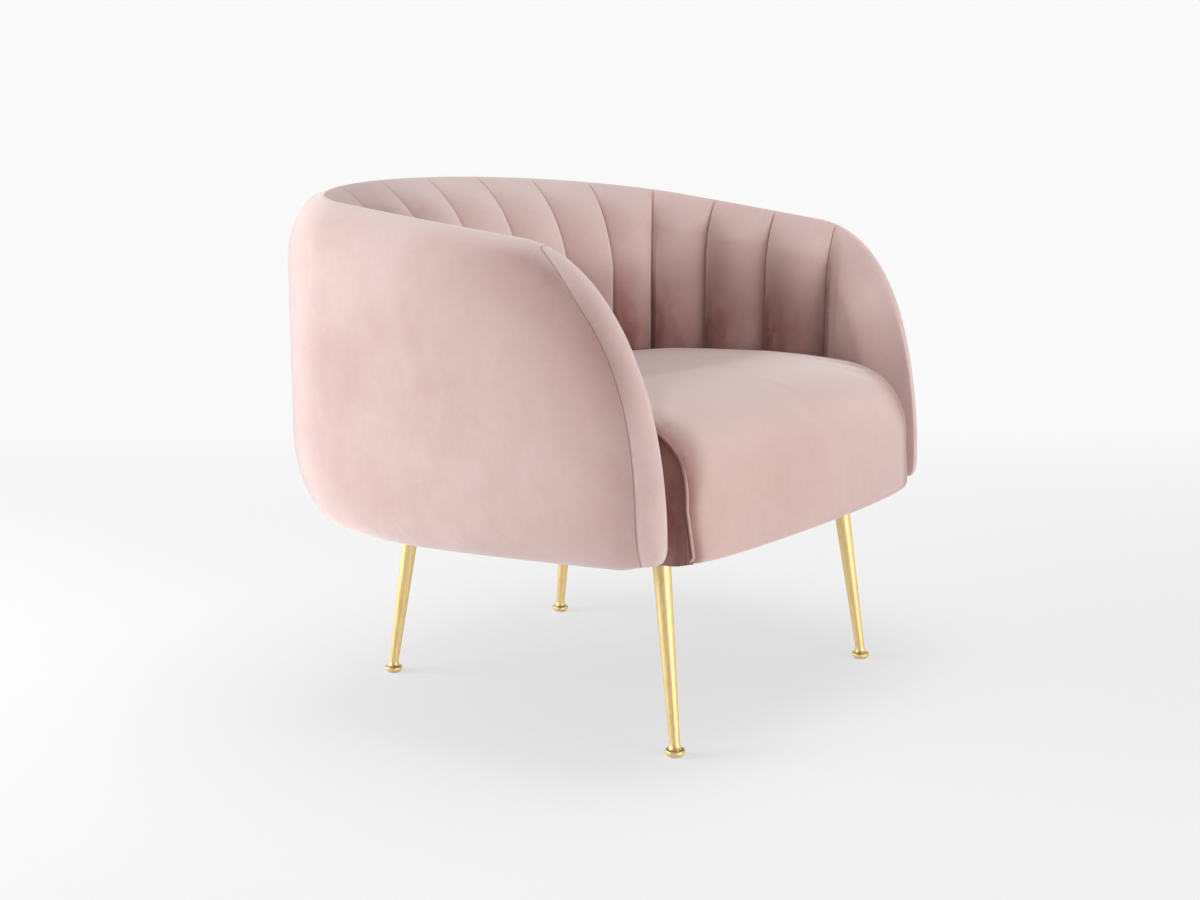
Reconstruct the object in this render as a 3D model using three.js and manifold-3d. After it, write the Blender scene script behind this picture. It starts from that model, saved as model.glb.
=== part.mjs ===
// Upholstered tub chair with a channelled inside back, on four tapered metal legs.
// Millimetres, +Z up, front towards -Y, origin on the floor under the middle of the chair.
import * as THREE from 'three';
import { mergeVertices } from 'three/addons/utils/BufferGeometryUtils.js';
import Module from 'manifold-3d';

const wasm = await Module();
wasm.setup();

// Heights
const RIM_BACK_HEIGHT = 718; // floor to the rim in the middle of the back
const ARM_HEIGHT = 652; // floor to the rim where the arm starts to turn down
const SEAT_HEIGHT = 446; // floor to the seat's edge beside the arms
const SEAT_BUILD = 188; // bottom of the upholstered shell to the seat's edge
const UNDERSIDE = SEAT_HEIGHT - SEAT_BUILD; // floor to the bottom of the shell

// Plan of the seat's front
const SEAT_FRONT_REACH = 350; // origin forward to the middle of the seat's front
const SEAT_FRONT_HALF_WIDTH = 300;
const SEAT_BOW = 14; // the front's middle ahead of its corners

// Plan of the rim: half an ellipse round the back, then arms that close in to the front
const ARM_CLEARANCE = 39; // seat's side to the rim line at the arm's tip
const ARM_TIP_CLOSING = 54; // how far each arm closes in from the widest place
const RIM_HALF_WIDTH = SEAT_FRONT_HALF_WIDTH + ARM_CLEARANCE + ARM_TIP_CLOSING;
const RIM_BACK_REACH = 301; // origin back to the rim's middle
const BACK_DEPTH = 161; // depth of the half ellipse
const SEAT_OVERHANG = 26; // seat's front ahead of the arm's front edge
const ARM_TIP_REACH = SEAT_FRONT_REACH - SEAT_OVERHANG; // origin forward to that edge
const ARM_RISE = 37; // rise of the arm's rim from the turn to the half ellipse
const BACK_RISE_SHARE = 0.75; // even part of the rim's rise round the half ellipse

// The arm's front edge turns down from the rim in a rounded quarter
const TURN_REACH = 190;
const TURN_ROUNDNESS_SHARE = 2.2;
const TOE_REACH = 13; // small rounding where the front edge meets the underside
const TOE_HEIGHT = 40;
const TOE_TURN_SHARE = 0.65; // of a quarter turn

// Outside of the shell: how far it swells past the rim line
const BACK_SWELL = 49;
const ARM_SWELL = 36;
const BACK_SWELL_DROP = 88; // drop from the rim to full swell
const ARM_SWELL_DROP = 66;
const BACK_TUCK = 85; // how far the lower edge is drawn in
const ARM_TUCK = 38;
const BACK_TUCK_HEIGHT = 140;
const ARM_TUCK_HEIGHT = 72;
const TUCK_FADE_DROP = 40; // the edge itself isn't drawn in

// Inside of the shell: how far the seams between channels lie inside the rim line
const BACK_PADDING = 98;
const ARM_PADDING = 26;
const BACK_PADDING_DROP = 150;
const ARM_PADDING_DROP = 90;
const PADDING_ROUNDNESS_SHARE = 1.5;
const CHANNEL_BULGE = 20;
const CHANNEL_FADE = 70; // drop over which a channel reaches its full bulge
const CHANNELS = 13;
const CROSS_SEAM_REACH = 35; // start of the arm's turn to the seam across its crest
const CHANNEL_ROUNDNESS_SHARE = 2.2;
const PANEL_FILL_SHARE = 0.33; // of a pitch, where the arm panel reaches its full bulge

// Stretches where back sizes change into arm sizes, from the end of the half ellipse
const SWELL_CHANGE = [25, 445];
const TUCK_CHANGE = [-125, 145];
const PADDING_CHANGE = [-255, 105];

// Upholstery thicknesses and fits
const COVER_THICKNESS = 12;
const CHANNEL_THICKNESS = 12;
const ROLL_THICKNESS = 13;
const ARM_PANEL_THICKNESS = 13;
const FIT_GAP = 0.5;
const SEAM_GAP = 1.6; // between neighbouring upholstered pieces
const OUTER_SEAM_DROP = 20; // outside seam below the rim
const PANEL_RETURN = 58; // inside reach of the arm panel beside the seat frame
const PANEL_FOOT_SHARES = [0.62, 0.76]; // stretch of the panel's edge where its foot steps forward
const INNER_LIP_DROP = 12; // inside edge of the rim roll below the rim
const LIP_REACH = 16; // return of the cover under the shell
const ARM_LIP_REACH = 5;

// Seat
const SEAT_SLOPE_SHARE = 0.035; // fall to the back
const SEAT_CROWN = 16;
const SEAT_CROWN_SPAN_SHARES = [0.12, 0.62]; // of half a wave, from the back to the front's fall
const SEAT_CROWN_ROUNDNESS_SHARE = 2.4;
const SEAT_DROP_REACH = 160; // length of the rounded fall to the front
const SEAT_DROP_HEIGHT = 116;
const SEAT_DROP_ROUNDNESS_SHARE = 2.7;
const SEAT_PAD_THICKNESS = 26;
const SEAT_HEM = 30; // return of the seat's front under the chair
const SEAT_CORNER_STRETCH = 50; // seat's rear corner behind the end of the half ellipse
const SEAT_ARM_STRETCH = 60; // arm's tip back to the end of the seat's curved side
const SEAT_FACE_LEAN = 6; // the front's foot ahead of its top
const SEAT_SIDE_DRAW = 5; // the corners draw in towards the foot
const SEAT_SIDE_GAP = 4;
const BOXING_THICKNESS = 8;
const BOXING_LENGTH = 60;
const BOXING_COLUMNS = 7;
const BOXING_SPREAD_SHARE = 1.5; // power that draws its columns to the front
const BOXING_ROW_SHARES = [0, 0.5, 1];

// Wooden frame
const SHELL_PLY = 6;
const SHELL_GAP = 2.5; // wadding between channels and plywood
const RAIL_DEPTH = 18; // thickness of top rail and posts across the wall
const RAIL_OFFSET = 1; // their inner face outside the rim line
const TOP_RAIL_HEIGHT = 26;
const TOP_RAIL_DROP = 42; // top rail below the rim line
const POST_WIDTH = 40;
const BACK_POST_STRETCH = 190;
const RING_PLY = 15;
const RING_WIDTH = 84;
const RING_OUTSET = 14; // ring's edge outside the rim line
const RAIL_HEIGHT = 44;
const RAIL_THICKNESS = 20;
const RAIL_SETBACK = 14; // front rail behind the seat's padding at the corners
const RAIL_CLEARANCE = 2; // side rail inside the seat's side facing
const SIDE_RAIL_INSET = BOXING_THICKNESS + RAIL_CLEARANCE + RAIL_THICKNESS / 2;
const SIDE_RAIL_HALF_SPACING = SEAT_FRONT_HALF_WIDTH - SIDE_RAIL_INSET;
const FRONT_RAIL_REACH = SEAT_FRONT_REACH - SEAT_BOW - SEAT_PAD_THICKNESS - RAIL_SETBACK;
const BACK_RAIL_REACH = 229;
const BACK_RAIL_HALF_WIDTH = 205;
const SIDE_RAIL_BACK_REACH = 140;
const BLOCK_LENGTH = 84;
const WEBBING_WIDTH = 52;
const WEBBING_THICKNESS = 2;
const WEBBING_SPACING = 150;
const WEBBING_LAP = 17; // of its back end over the ring
const DUST_COVER_THICKNESS = 1.6;
const DUST_COVER_MARGIN = 6;

// Legs, their centres measured at the feet, with the lean from foot to top
const FRONT_FOOT_INSET = 42; // seat's side in to the foot's centre
const FRONT_FOOT_HALF_SPACING = SEAT_FRONT_HALF_WIDTH - FRONT_FOOT_INSET;
const FRONT_FOOT_SETBACK = 10; // front rail's face back to the foot's centre
const FRONT_FOOT_REACH = FRONT_RAIL_REACH - FRONT_FOOT_SETBACK;
const REAR_FOOT_HALF_SPACING = 205;
const REAR_FOOT_REACH = 246;
const LEG_LEAN_IN = 17;
const LEG_LEAN_ALONG = 36;
const LEG_TOP_DIAMETER = 24.5;
const LEG_FOOT_DIAMETER = 13.5;
const FOOT_DIAMETER = 26;
const FOOT_HEIGHT = 6.5;
const FOOT_RIM_ROUNDING = 1.6;
const PAD_DIAMETER = 21;
const PAD_HEIGHT = 2.4;
const PLATE_SIZE = 58;
const PLATE_THICKNESS = 3;
const STUD_DIAMETER = 8;
const STUD_PLAY = 0.7;
const STUD_LENGTH_IN_LEG = 26;
const STUD_LENGTH_IN_BLOCK = 24;

// Fineness of curved pieces
const HALVINGS = 30; // steps of a search that halves its range
const WELD = 0.001; // points closer than this are one
const SURFACE_STEP = 0.4; // stretch of surface that gives its direction
const PLAN_STEPS = 700;
const PLAN_REACH_SHARES = [0, 1.15]; // the plan is worked out a little past the arm's tip
const RIM_STEPS = 400;
const TOE_STEPS = 40;
const BACK_COLUMNS = 19; // half of the back and the arm as far as the cross seam
const PANEL_COLUMNS = 13; // the arm's front edge
const TOE_COLUMNS = 4;
const CHANNEL_COLUMNS = 6;
const SHELL_COLUMNS = 52;
const RAIL_COLUMNS = 36;
const OUTLINE_POINTS = 44;
const HOLE_POINTS = 32;
const LEG_SIDES = 24;

const VELVET = { color: 0xd2b2ab, roughness: 0.85, metalness: 0 };
const SEAT_VELVET = { color: 0xd6bdb4, roughness: 0.85, metalness: 0 };
const FOAM = { color: 0xe8dfc6, roughness: 0.95, metalness: 0 };
const PLYWOOD = { color: 0xc9a877, roughness: 0.7, metalness: 0 };
const TIMBER = { color: 0xb98f5c, roughness: 0.75, metalness: 0 };
const WEBBING = { color: 0x4b4a46, roughness: 0.9, metalness: 0 };
const LINING = { color: 0x1f1f20, roughness: 0.95, metalness: 0 };
const BRASS = { color: 0xd9b36c, roughness: 0.3, metalness: 1 };
const STEEL = { color: 0x9a9c9e, roughness: 0.4, metalness: 1 };
const NYLON = { color: 0x2b2a29, roughness: 0.6, metalness: 0 };

const chair = new THREE.Group();
const BEND_Y = TURN_REACH - ARM_TIP_REACH;
const CORNER_Y = RIM_BACK_REACH - BACK_DEPTH;
const FULL_ANGLE = Math.PI / 2;
const DECK = UNDERSIDE + COVER_THICKNESS + FIT_GAP + RAIL_HEIGHT + RING_PLY;
const BACK_FOOT = DECK + WEBBING_THICKNESS + 2 * FIT_GAP;
const BOXING_FOOT = UNDERSIDE + DUST_COVER_THICKNESS + 2 * FIT_GAP;

function clamp01(value) {
  return Math.min(1, Math.max(0, value));
}

function blend(from, to, share) {
  return from + (to - from) * share;
}

function smoothShare([from, to], value) {
  const share = clamp01((value - from) / (to - from));
  return share * share * (3 - 2 * share);
}

// Rises steeply from 0 and levels out at 1
function roundedRise(share, roundness) {
  return (1 - (1 - clamp01(share)) ** roundness) ** (1 / roundness);
}

function evenShares(count, from = 0, to = 1) {
  return Array.from({ length: count + 1 }, (_, i) => blend(from, to, i / count));
}

// The rim's plan as points with their distance from the middle of the back
function makePlan() {
  const points = evenShares(PLAN_STEPS).map((share) => {
    const angle = share * FULL_ANGLE;
    return { x: RIM_HALF_WIDTH * Math.sin(angle), y: CORNER_Y + BACK_DEPTH * Math.cos(angle) };
  });
  const armLength = CORNER_Y + ARM_TIP_REACH;
  for (const share of evenShares(PLAN_STEPS, ...PLAN_REACH_SHARES).slice(1)) {
    const x = RIM_HALF_WIDTH - ARM_TIP_CLOSING * share * share;
    points.push({ x, y: CORNER_Y - share * armLength });
  }
  points[0].s = 0;
  for (let i = 1; i < points.length; i += 1) {
    const step = Math.hypot(points[i].x - points[i - 1].x, points[i].y - points[i - 1].y);
    points[i].s = points[i - 1].s + step;
  }
  return points;
}

const plan = makePlan();

function planIndex(value, key, falling) {
  let low = 0;
  let high = plan.length - 1;
  while (high - low > 1) {
    const middle = (low + high) >> 1;
    const below = falling ? plan[middle][key] > value : plan[middle][key] < value;
    if (below) low = middle;
    else high = middle;
  }
  return low;
}

// Place on the rim's plan with its outward direction; negative distances are the left half
function planAt(distance) {
  const side = distance < 0 ? -1 : 1;
  const low = planIndex(Math.abs(distance), 's', false);
  const a = plan[low];
  const b = plan[low + 1];
  const share = (Math.abs(distance) - a.s) / (b.s - a.s);
  const length = Math.hypot(b.x - a.x, b.y - a.y);
  return {
    x: side * blend(a.x, b.x, share),
    y: blend(a.y, b.y, share),
    nx: side * (a.y - b.y) / length,
    ny: (b.x - a.x) / length,
  };
}

function distanceAtY(y) {
  const low = planIndex(y, 'y', true);
  const a = plan[low];
  const b = plan[low + 1];
  return blend(a.s, b.s, (y - a.y) / (b.y - a.y));
}

// Stretches along the rim line from the middle of the back
const CORNER_STRETCH = distanceAtY(CORNER_Y);
const TIP_STRETCH = distanceAtY(-ARM_TIP_REACH);
const ARM_END = distanceAtY(BEND_Y) + CROSS_SEAM_REACH;
const CHANNEL_PITCH = 2 * ARM_END / CHANNELS;
const SEAT_REAR = CORNER_STRETCH - SEAT_CORNER_STRETCH;
const SEAT_ARM = TIP_STRETCH - SEAT_ARM_STRETCH;

// How far a back size has changed into its arm size, from 0 to 1
function armShare([from, to], distance) {
  return smoothShare([CORNER_STRETCH + from, CORNER_STRETCH + to], Math.abs(distance));
}

// Rim height before the arm's front turn
function rimLine(y) {
  const slope = ARM_RISE / (CORNER_Y - BEND_Y);
  const arm = ARM_HEIGHT + slope * (Math.min(y, CORNER_Y) - BEND_Y);
  const back = clamp01((y - CORNER_Y) / BACK_DEPTH);
  const rise = blend(back * back, back, BACK_RISE_SHARE);
  return arm + (RIM_BACK_HEIGHT - ARM_HEIGHT - ARM_RISE) * rise;
}

// The rim as (distance, height): round the back, down the arm's front, round the toe
function makeRim() {
  const bend = distanceAtY(BEND_Y);
  const rim = evenShares(RIM_STEPS).map((share) => ({
    s: share * bend,
    z: rimLine(planAt(share * bend).y),
  }));
  const foot = UNDERSIDE + TOE_HEIGHT;
  const power = 2 / TURN_ROUNDNESS_SHARE;
  for (const share of evenShares(RIM_STEPS).slice(1)) {
    const angle = share * FULL_ANGLE;
    const y = BEND_Y - TURN_REACH * Math.sin(angle) ** power;
    const z = foot + (rimLine(y) - foot) * Math.max(0, Math.cos(angle)) ** power;
    rim.push({ s: distanceAtY(y), z });
  }
  const tip = rim[rim.length - 1].s;
  const turn = TOE_TURN_SHARE * FULL_ANGLE;
  for (const share of evenShares(TOE_STEPS).slice(1)) {
    rim.push({
      s: tip - TOE_REACH * (1 - Math.cos(share * turn)) / (1 - Math.cos(turn)),
      z: foot - TOE_HEIGHT * Math.sin(share * turn) / Math.sin(turn),
    });
  }
  rim[0].run = 0;
  for (let i = 1; i < rim.length; i += 1) {
    rim[i].run = rim[i - 1].run + Math.hypot(rim[i].s - rim[i - 1].s, rim[i].z - rim[i - 1].z);
  }
  return rim;
}

const rim = makeRim();
const RIM_RUN = rim[rim.length - 1].run;

// Rim place at a run along the rim, moved inward from the edge by a drop
function rimAt(run, drop = 0) {
  const wanted = Math.min(run, RIM_RUN);
  let i = rim.findIndex((point) => point.run >= wanted);
  i = Math.max(1, i);
  const a = rim[i - 1];
  const b = rim[i];
  const share = (wanted - a.run) / (b.run - a.run);
  const length = b.run - a.run;
  const inward = { s: (b.z - a.z) / length, z: -(b.s - a.s) / length };
  return {
    s: blend(a.s, b.s, share) + inward.s * drop,
    z: blend(a.z, b.z, share) + inward.z * drop,
  };
}

function rimHeight(distance) {
  const wanted = Math.abs(distance);
  const i = Math.max(1, rim.findIndex((point) => point.s >= wanted));
  const share = (wanted - rim[i - 1].s) / (rim[i].s - rim[i - 1].s);
  return blend(rim[i - 1].z, rim[i].z, share);
}

function dropBelowRim(distance, height) {
  const s = Math.abs(distance);
  let least = Infinity;
  for (const point of rim) {
    least = Math.min(least, (point.s - s) ** 2 + (point.z - height) ** 2);
  }
  return Math.sqrt(least);
}

// Outer face of the wall, measured outward from the rim line
function outerOffset(distance, height) {
  const s = Math.abs(distance);
  const arm = armShare(SWELL_CHANGE, s);
  const tuckArm = armShare(TUCK_CHANGE, s);
  const drop = dropBelowRim(s, height);
  const swell = blend(BACK_SWELL, ARM_SWELL, arm);
  const rise = roundedRise(drop / blend(BACK_SWELL_DROP, ARM_SWELL_DROP, arm), 2);
  const tuckHeight = blend(BACK_TUCK_HEIGHT, ARM_TUCK_HEIGHT, tuckArm);
  const low = clamp01((UNDERSIDE + tuckHeight - height) / tuckHeight);
  const tuck = blend(BACK_TUCK, ARM_TUCK, tuckArm) * smoothShare([0, TUCK_FADE_DROP], drop);
  return swell * rise - tuck * (1 - Math.sqrt(1 - low * low));
}

// Seams between channels, measured inward from the rim line
function seamOffset(distance, height) {
  const arm = armShare(PADDING_CHANGE, distance);
  const drop = dropBelowRim(distance, height);
  const reach = blend(BACK_PADDING_DROP, ARM_PADDING_DROP, arm);
  return blend(BACK_PADDING, ARM_PADDING, arm) * roundedRise(drop / reach, PADDING_ROUNDNESS_SHARE);
}

// Channel faces bulge between the seams; the arm's front panel keeps the full bulge
function innerOffset(distance, height) {
  const s = Math.abs(distance);
  const phase = Math.abs(((s / CHANNEL_PITCH + 0.5) % 1) - 0.5) * 2;
  const channel = 1 - phase ** CHANNEL_ROUNDNESS_SHARE;
  const panel = smoothShare([ARM_END, ARM_END + CHANNEL_PITCH * PANEL_FILL_SHARE], s);
  const fade = smoothShare([FIT_GAP, CHANNEL_FADE], dropBelowRim(s, height));
  return seamOffset(s, height) + CHANNEL_BULGE * fade * (s < ARM_END ? channel : panel);
}

function wallPoint(distance, height, offset) {
  const at = planAt(distance);
  return new THREE.Vector3(at.x + at.nx * offset, at.y + at.ny * offset, height);
}

function outerPoint(distance, height) {
  return wallPoint(distance, height, outerOffset(distance, height));
}

function innerPoint(distance, height) {
  return wallPoint(distance, height, -innerOffset(distance, height));
}

// Moves a grid of points along its own normals
function offsetGrid(grid, thickness) {
  const last = grid.length - 1;
  return grid.map((row, r) => row.map((point, c) => {
    const along = grid[r][Math.min(c + 1, row.length - 1)].clone().sub(grid[r][Math.max(c - 1, 0)]);
    const down = grid[Math.min(r + 1, last)][c].clone().sub(grid[Math.max(r - 1, 0)][c]);
    return point.clone().addScaledVector(along.cross(down).normalize(), thickness);
  }));
}

function weldedGeometry(positions, triangles) {
  const geometry = new THREE.BufferGeometry();
  geometry.setAttribute('position', new THREE.Float32BufferAttribute(positions, 3));
  geometry.setIndex(triangles);
  const welded = mergeVertices(geometry, WELD);
  const index = welded.index.array;
  const kept = [];
  for (let i = 0; i < index.length; i += 3) {
    const [a, b, c] = [index[i], index[i + 1], index[i + 2]];
    if (a !== b && b !== c && a !== c) kept.push(a, b, c);
  }
  welded.setIndex(kept);
  return faceOutward(welded);
}

function faceOutward(geometry) {
  const place = geometry.attributes.position;
  const index = geometry.index.array;
  const [a, b, c] = [0, 0, 0].map(() => new THREE.Vector3());
  let volume = 0;
  for (let i = 0; i < index.length; i += 3) {
    a.fromBufferAttribute(place, index[i]);
    b.fromBufferAttribute(place, index[i + 1]);
    c.fromBufferAttribute(place, index[i + 2]);
    volume += a.dot(b.cross(c));
  }
  if (volume < 0) geometry.setIndex(Array.from(index).reverse());
  return geometry;
}

function mirrored(point) {
  return new THREE.Vector3(-point.x, point.y, point.z);
}

function turned(columns) {
  return columns[0].map((_, r) => columns.map((column) => column[r]));
}

// Rows of a full-width grid from the columns of its right half
function symmetricGrid(half) {
  const other = half.slice(1).map((column) => column.map(mirrored));
  return turned([...other.reverse(), ...half]);
}

// Point at a depth behind a surface, square to the surface there
function behind(surface, s, z, depth) {
  const step = SURFACE_STEP;
  const along = surface(s + step, z).sub(surface(s - step, z));
  const down = surface(s, z - step).sub(surface(s, z + step));
  return surface(s, z).addScaledVector(along.cross(down).normalize(), depth);
}

// Closed solid between two grids of the same size
function slabGeometry(front, back) {
  const rows = front.length;
  const columns = front[0].length;
  const positions = [];
  for (const grid of [front, back]) {
    for (const point of grid.flat()) positions.push(point.x, point.y, point.z);
  }
  const at = (side, r, c) => side * rows * columns + r * columns + c;
  const triangles = [];
  const quad = (p, q, r, s) => triangles.push(p, q, r, p, r, s);
  for (let r = 0; r + 1 < rows; r += 1) {
    for (let c = 0; c + 1 < columns; c += 1) {
      quad(at(0, r, c), at(0, r, c + 1), at(0, r + 1, c + 1), at(0, r + 1, c));
      quad(at(1, r, c), at(1, r + 1, c), at(1, r + 1, c + 1), at(1, r, c + 1));
    }
    quad(at(0, r, 0), at(0, r + 1, 0), at(1, r + 1, 0), at(1, r, 0));
    const e = columns - 1;
    quad(at(0, r + 1, e), at(0, r, e), at(1, r, e), at(1, r + 1, e));
  }
  for (let c = 0; c + 1 < columns; c += 1) {
    quad(at(0, 0, c + 1), at(0, 0, c), at(1, 0, c), at(1, 0, c + 1));
    const e = rows - 1;
    quad(at(0, e, c), at(0, e, c + 1), at(1, e, c + 1), at(1, e, c));
  }
  return weldedGeometry(positions, triangles);
}

function addPiece(name, geometry, finish) {
  const mesh = new THREE.Mesh(geometry, new THREE.MeshStandardMaterial(finish));
  mesh.name = name;
  chair.add(mesh);
  return mesh;
}

function mirroredGrid(grid) {
  return grid.map((row) => row.map(mirrored));
}

function bothSides(name, front, back, finish) {
  addPiece(`${name}_right`, slabGeometry(front, back), finish);
  addPiece(`${name}_left`, slabGeometry(mirroredGrid(front), mirroredGrid(back)), finish);
}

function runAtDistance(distance) {
  return rim.find((point) => point.s >= distance).run;
}

// Columns along the rim, shared by the pieces that meet at the outer seam
const SEAM_RUN = runAtDistance(ARM_END);
const COVER_END_RUN = rim[2 * RIM_STEPS].run;
const COVER_END = rimAt(COVER_END_RUN, OUTER_SEAM_DROP).s;
const backRuns = evenShares(BACK_COLUMNS, 0, SEAM_RUN + SEAM_GAP);
const frontRuns = evenShares(PANEL_COLUMNS, SEAM_RUN + SEAM_GAP, COVER_END_RUN);
const toeRuns = evenShares(TOE_COLUMNS, COVER_END_RUN, RIM_RUN).slice(1);

// Outside cover: from the outer seam down, under the shell's edge and in to a lip
const COVER_ROW_SHARES = [0, 0.05, 0.12, 0.22, 0.36, 0.52, 0.66, 0.78, 0.87, 0.94, 0.985, 1];

function lipReach(distance) {
  return blend(LIP_REACH, ARM_LIP_REACH, armShare(SWELL_CHANGE, distance));
}

function makeOuterCover() {
  const runs = [...backRuns, ...frontRuns.slice(1)];
  const columns = runs.map((run) => {
    const top = rimAt(run, OUTER_SEAM_DROP);
    return COVER_ROW_SHARES.map((share) => ({ s: top.s, z: blend(top.z, UNDERSIDE, share) }));
  });
  const outside = columns.map((column) => {
    const foot = column[column.length - 1];
    const lip = outerOffset(foot.s, UNDERSIDE) - lipReach(foot.s);
    return [...column.map(({ s, z }) => outerPoint(s, z)), wallPoint(foot.s, UNDERSIDE, lip)];
  });
  const inside = columns.map((column, c) => {
    const lip = outside[c][column.length].clone();
    lip.z += COVER_THICKNESS;
    return [...column.map(({ s, z }) => behind(outerPoint, s, z, -COVER_THICKNESS)), lip];
  });
  const solid = slabGeometry(symmetricGrid(outside), symmetricGrid(inside));
  addPiece('outer_cover', solid, VELVET);
}

// Rim roll: the padded top edge from one arm's cross seam to the other
const ROLL_OUTER_SHARES = [1, 0.55, 0.2, 0];
const ROLL_INNER_SHARES = [0.3, 1];

function rollPlaces(run) {
  const seam = OUTER_SEAM_DROP - SEAM_GAP;
  const outer = ROLL_OUTER_SHARES.map((share) => rimAt(run, seam * share));
  const inner = ROLL_INNER_SHARES.map((share) => rimAt(run, INNER_LIP_DROP * share));
  return { outer, inner };
}

function makeRimRoll() {
  const runs = [...backRuns.slice(0, -1), SEAM_RUN - SEAM_GAP];
  const places = runs.map(rollPlaces);
  const grid = symmetricGrid(places.map(({ outer, inner }) => [
    ...outer.map(({ s, z }) => outerPoint(s, z)),
    ...inner.map(({ s, z }) => innerPoint(s, z)),
  ]));
  const inside = offsetGrid(grid, ROLL_THICKNESS);
  const edges = symmetricGrid(places.map(({ outer, inner }) => {
    const seam = outer[0];
    const lip = inner[inner.length - 1];
    return [
      behind(outerPoint, seam.s, seam.z, -ROLL_THICKNESS),
      behind(innerPoint, lip.s, lip.z, ROLL_THICKNESS),
    ];
  }));
  inside[0] = edges[0];
  inside[inside.length - 1] = edges[1];
  addPiece('rim_roll', slabGeometry(grid, inside), VELVET);
}

// Inside back: upright channels with a bulging face and a flat back
const CHANNEL_ROW_SHARES = [0, 0.05, 0.12, 0.22, 0.34, 0.5, 0.72, 1];

function channelRows(distance) {
  const top = rimHeight(distance) - INNER_LIP_DROP - 2 * SEAM_GAP;
  return CHANNEL_ROW_SHARES.map((share) => blend(top, BACK_FOOT, share));
}

function makeChannel(number) {
  const middle = (number - (CHANNELS - 1) / 2) * CHANNEL_PITCH;
  const half = CHANNEL_PITCH / 2 - FIT_GAP;
  const columns = evenShares(CHANNEL_COLUMNS, middle - half, middle + half);
  const front = turned(columns.map((s) => channelRows(s).map((z) => innerPoint(s, z))));
  const back = turned(columns.map((s) => channelRows(s).map((z, r) => {
    if (r === 0) return behind(innerPoint, s, z, CHANNEL_THICKNESS);
    return wallPoint(s, z, CHANNEL_THICKNESS - seamOffset(s, z));
  })));
  const label = String(number + 1).padStart(2, '0');
  addPiece(`channel_${label}`, slabGeometry(front, back), VELVET);
}

// Arm front panel: from the outer seam round the arm's front edge to the last channel seam;
// near its foot the inside edge comes forward, clear of the seat frame
const PANEL_OUTER_SHARES = [1, 0.5, 0.15, 0];
const PANEL_INNER_SHARES = [0.06, 0.16, 0.3, 0.5, 0.75, 1];
const PANEL_FALL_SHARE = 1.3; // power of the inside edge's fall along the arm

// Place on the panel's outside; round the toe the outer seam runs straight down
function panelPlace(run, drop) {
  const at = rimAt(run, drop);
  if (run <= COVER_END_RUN) return { s: Math.max(at.s, ARM_END + SEAM_GAP), z: at.z };
  const edge = rimAt(run);
  const share = (run - COVER_END_RUN) / (RIM_RUN - COVER_END_RUN);
  const seam = { s: COVER_END + SEAM_GAP, z: blend(rim[2 * RIM_STEPS].z, UNDERSIDE, share) };
  const depth = drop / (OUTER_SEAM_DROP - SEAM_GAP);
  return { s: blend(edge.s, seam.s, depth), z: blend(edge.z, seam.z, depth) };
}

function armPanelColumn(run, share) {
  const outer = PANEL_OUTER_SHARES.map((part) => {
    const at = panelPlace(run, (OUTER_SEAM_DROP - SEAM_GAP) * part);
    return outerPoint(at.s, at.z);
  });
  const edge = rimAt(run);
  const seamTop = rimHeight(ARM_END) - INNER_LIP_DROP;
  const forward = smoothShare(PANEL_FOOT_SHARES, share);
  const fall = (share / PANEL_FOOT_SHARES[0]) ** PANEL_FALL_SHARE;
  const inside = {
    s: blend(ARM_END + SEAM_GAP, edge.s - PANEL_RETURN, forward),
    z: blend(blend(seamTop, BACK_FOOT + ARM_PANEL_THICKNESS / 2, fall), edge.z, forward),
  };
  const inner = PANEL_INNER_SHARES.map((part) => {
    const s = blend(edge.s, inside.s, part);
    return innerPoint(Math.max(s, ARM_END + SEAM_GAP), blend(edge.z, inside.z, part));
  });
  return [...outer, ...inner];
}

// Moves the inside of the panel's first column into the plane of the cross seam
function squareToSeam(front, inside) {
  const at = planAt(ARM_END + SEAM_GAP);
  const along = new THREE.Vector3(at.ny, -at.nx, 0);
  for (const [r, row] of inside.entries()) {
    row[0].addScaledVector(along, -row[0].clone().sub(front[r][0]).dot(along));
  }
}

function makeArmPanels() {
  const runs = [...frontRuns, ...toeRuns];
  const start = runs[0];
  const share = (run) => (run - start) / (RIM_RUN - start);
  const front = turned(runs.map((run) => armPanelColumn(run, share(run))));
  const inside = offsetGrid(front, ARM_PANEL_THICKNESS);
  inside[0] = runs.map((run) => {
    const seam = panelPlace(run, OUTER_SEAM_DROP - SEAM_GAP);
    return behind(outerPoint, seam.s, seam.z, -ARM_PANEL_THICKNESS);
  });
  squareToSeam(front, inside);
  bothSides('arm_front_panel', front, inside, VELVET);
}

// Seat plan: a curved edge against the inside back, edges against the arms, a bowed front
const SEAT_COLUMN_SHARES = evenShares(14, -1, 1);
const SEAT_BACK_ROW_SHARES = [0, 0.05, 0.14, 0.3, 0.5, 0.7, 0.86, 1];
const SEAT_FALL_SHARES = [0.2, 0.38, 0.54, 0.7, 0.86, 1];
const SEAT_FACE_SHARES = [0.4, 0.8, 1];

function seatEdge(distance) {
  const height = (SEAT_HEIGHT + DECK) / 2;
  const offset = seamOffset(distance, height) + CHANNEL_BULGE + SEAT_SIDE_GAP;
  return wallPoint(distance, height, -offset);
}

function seatFrontY(x) {
  const share = x / SEAT_FRONT_HALF_WIDTH;
  return SEAT_BOW * share * share - SEAT_FRONT_REACH + SEAT_FACE_LEAN;
}

function seatDropStart(x) {
  return seatFrontY(x) + SEAT_DROP_REACH;
}

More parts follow.
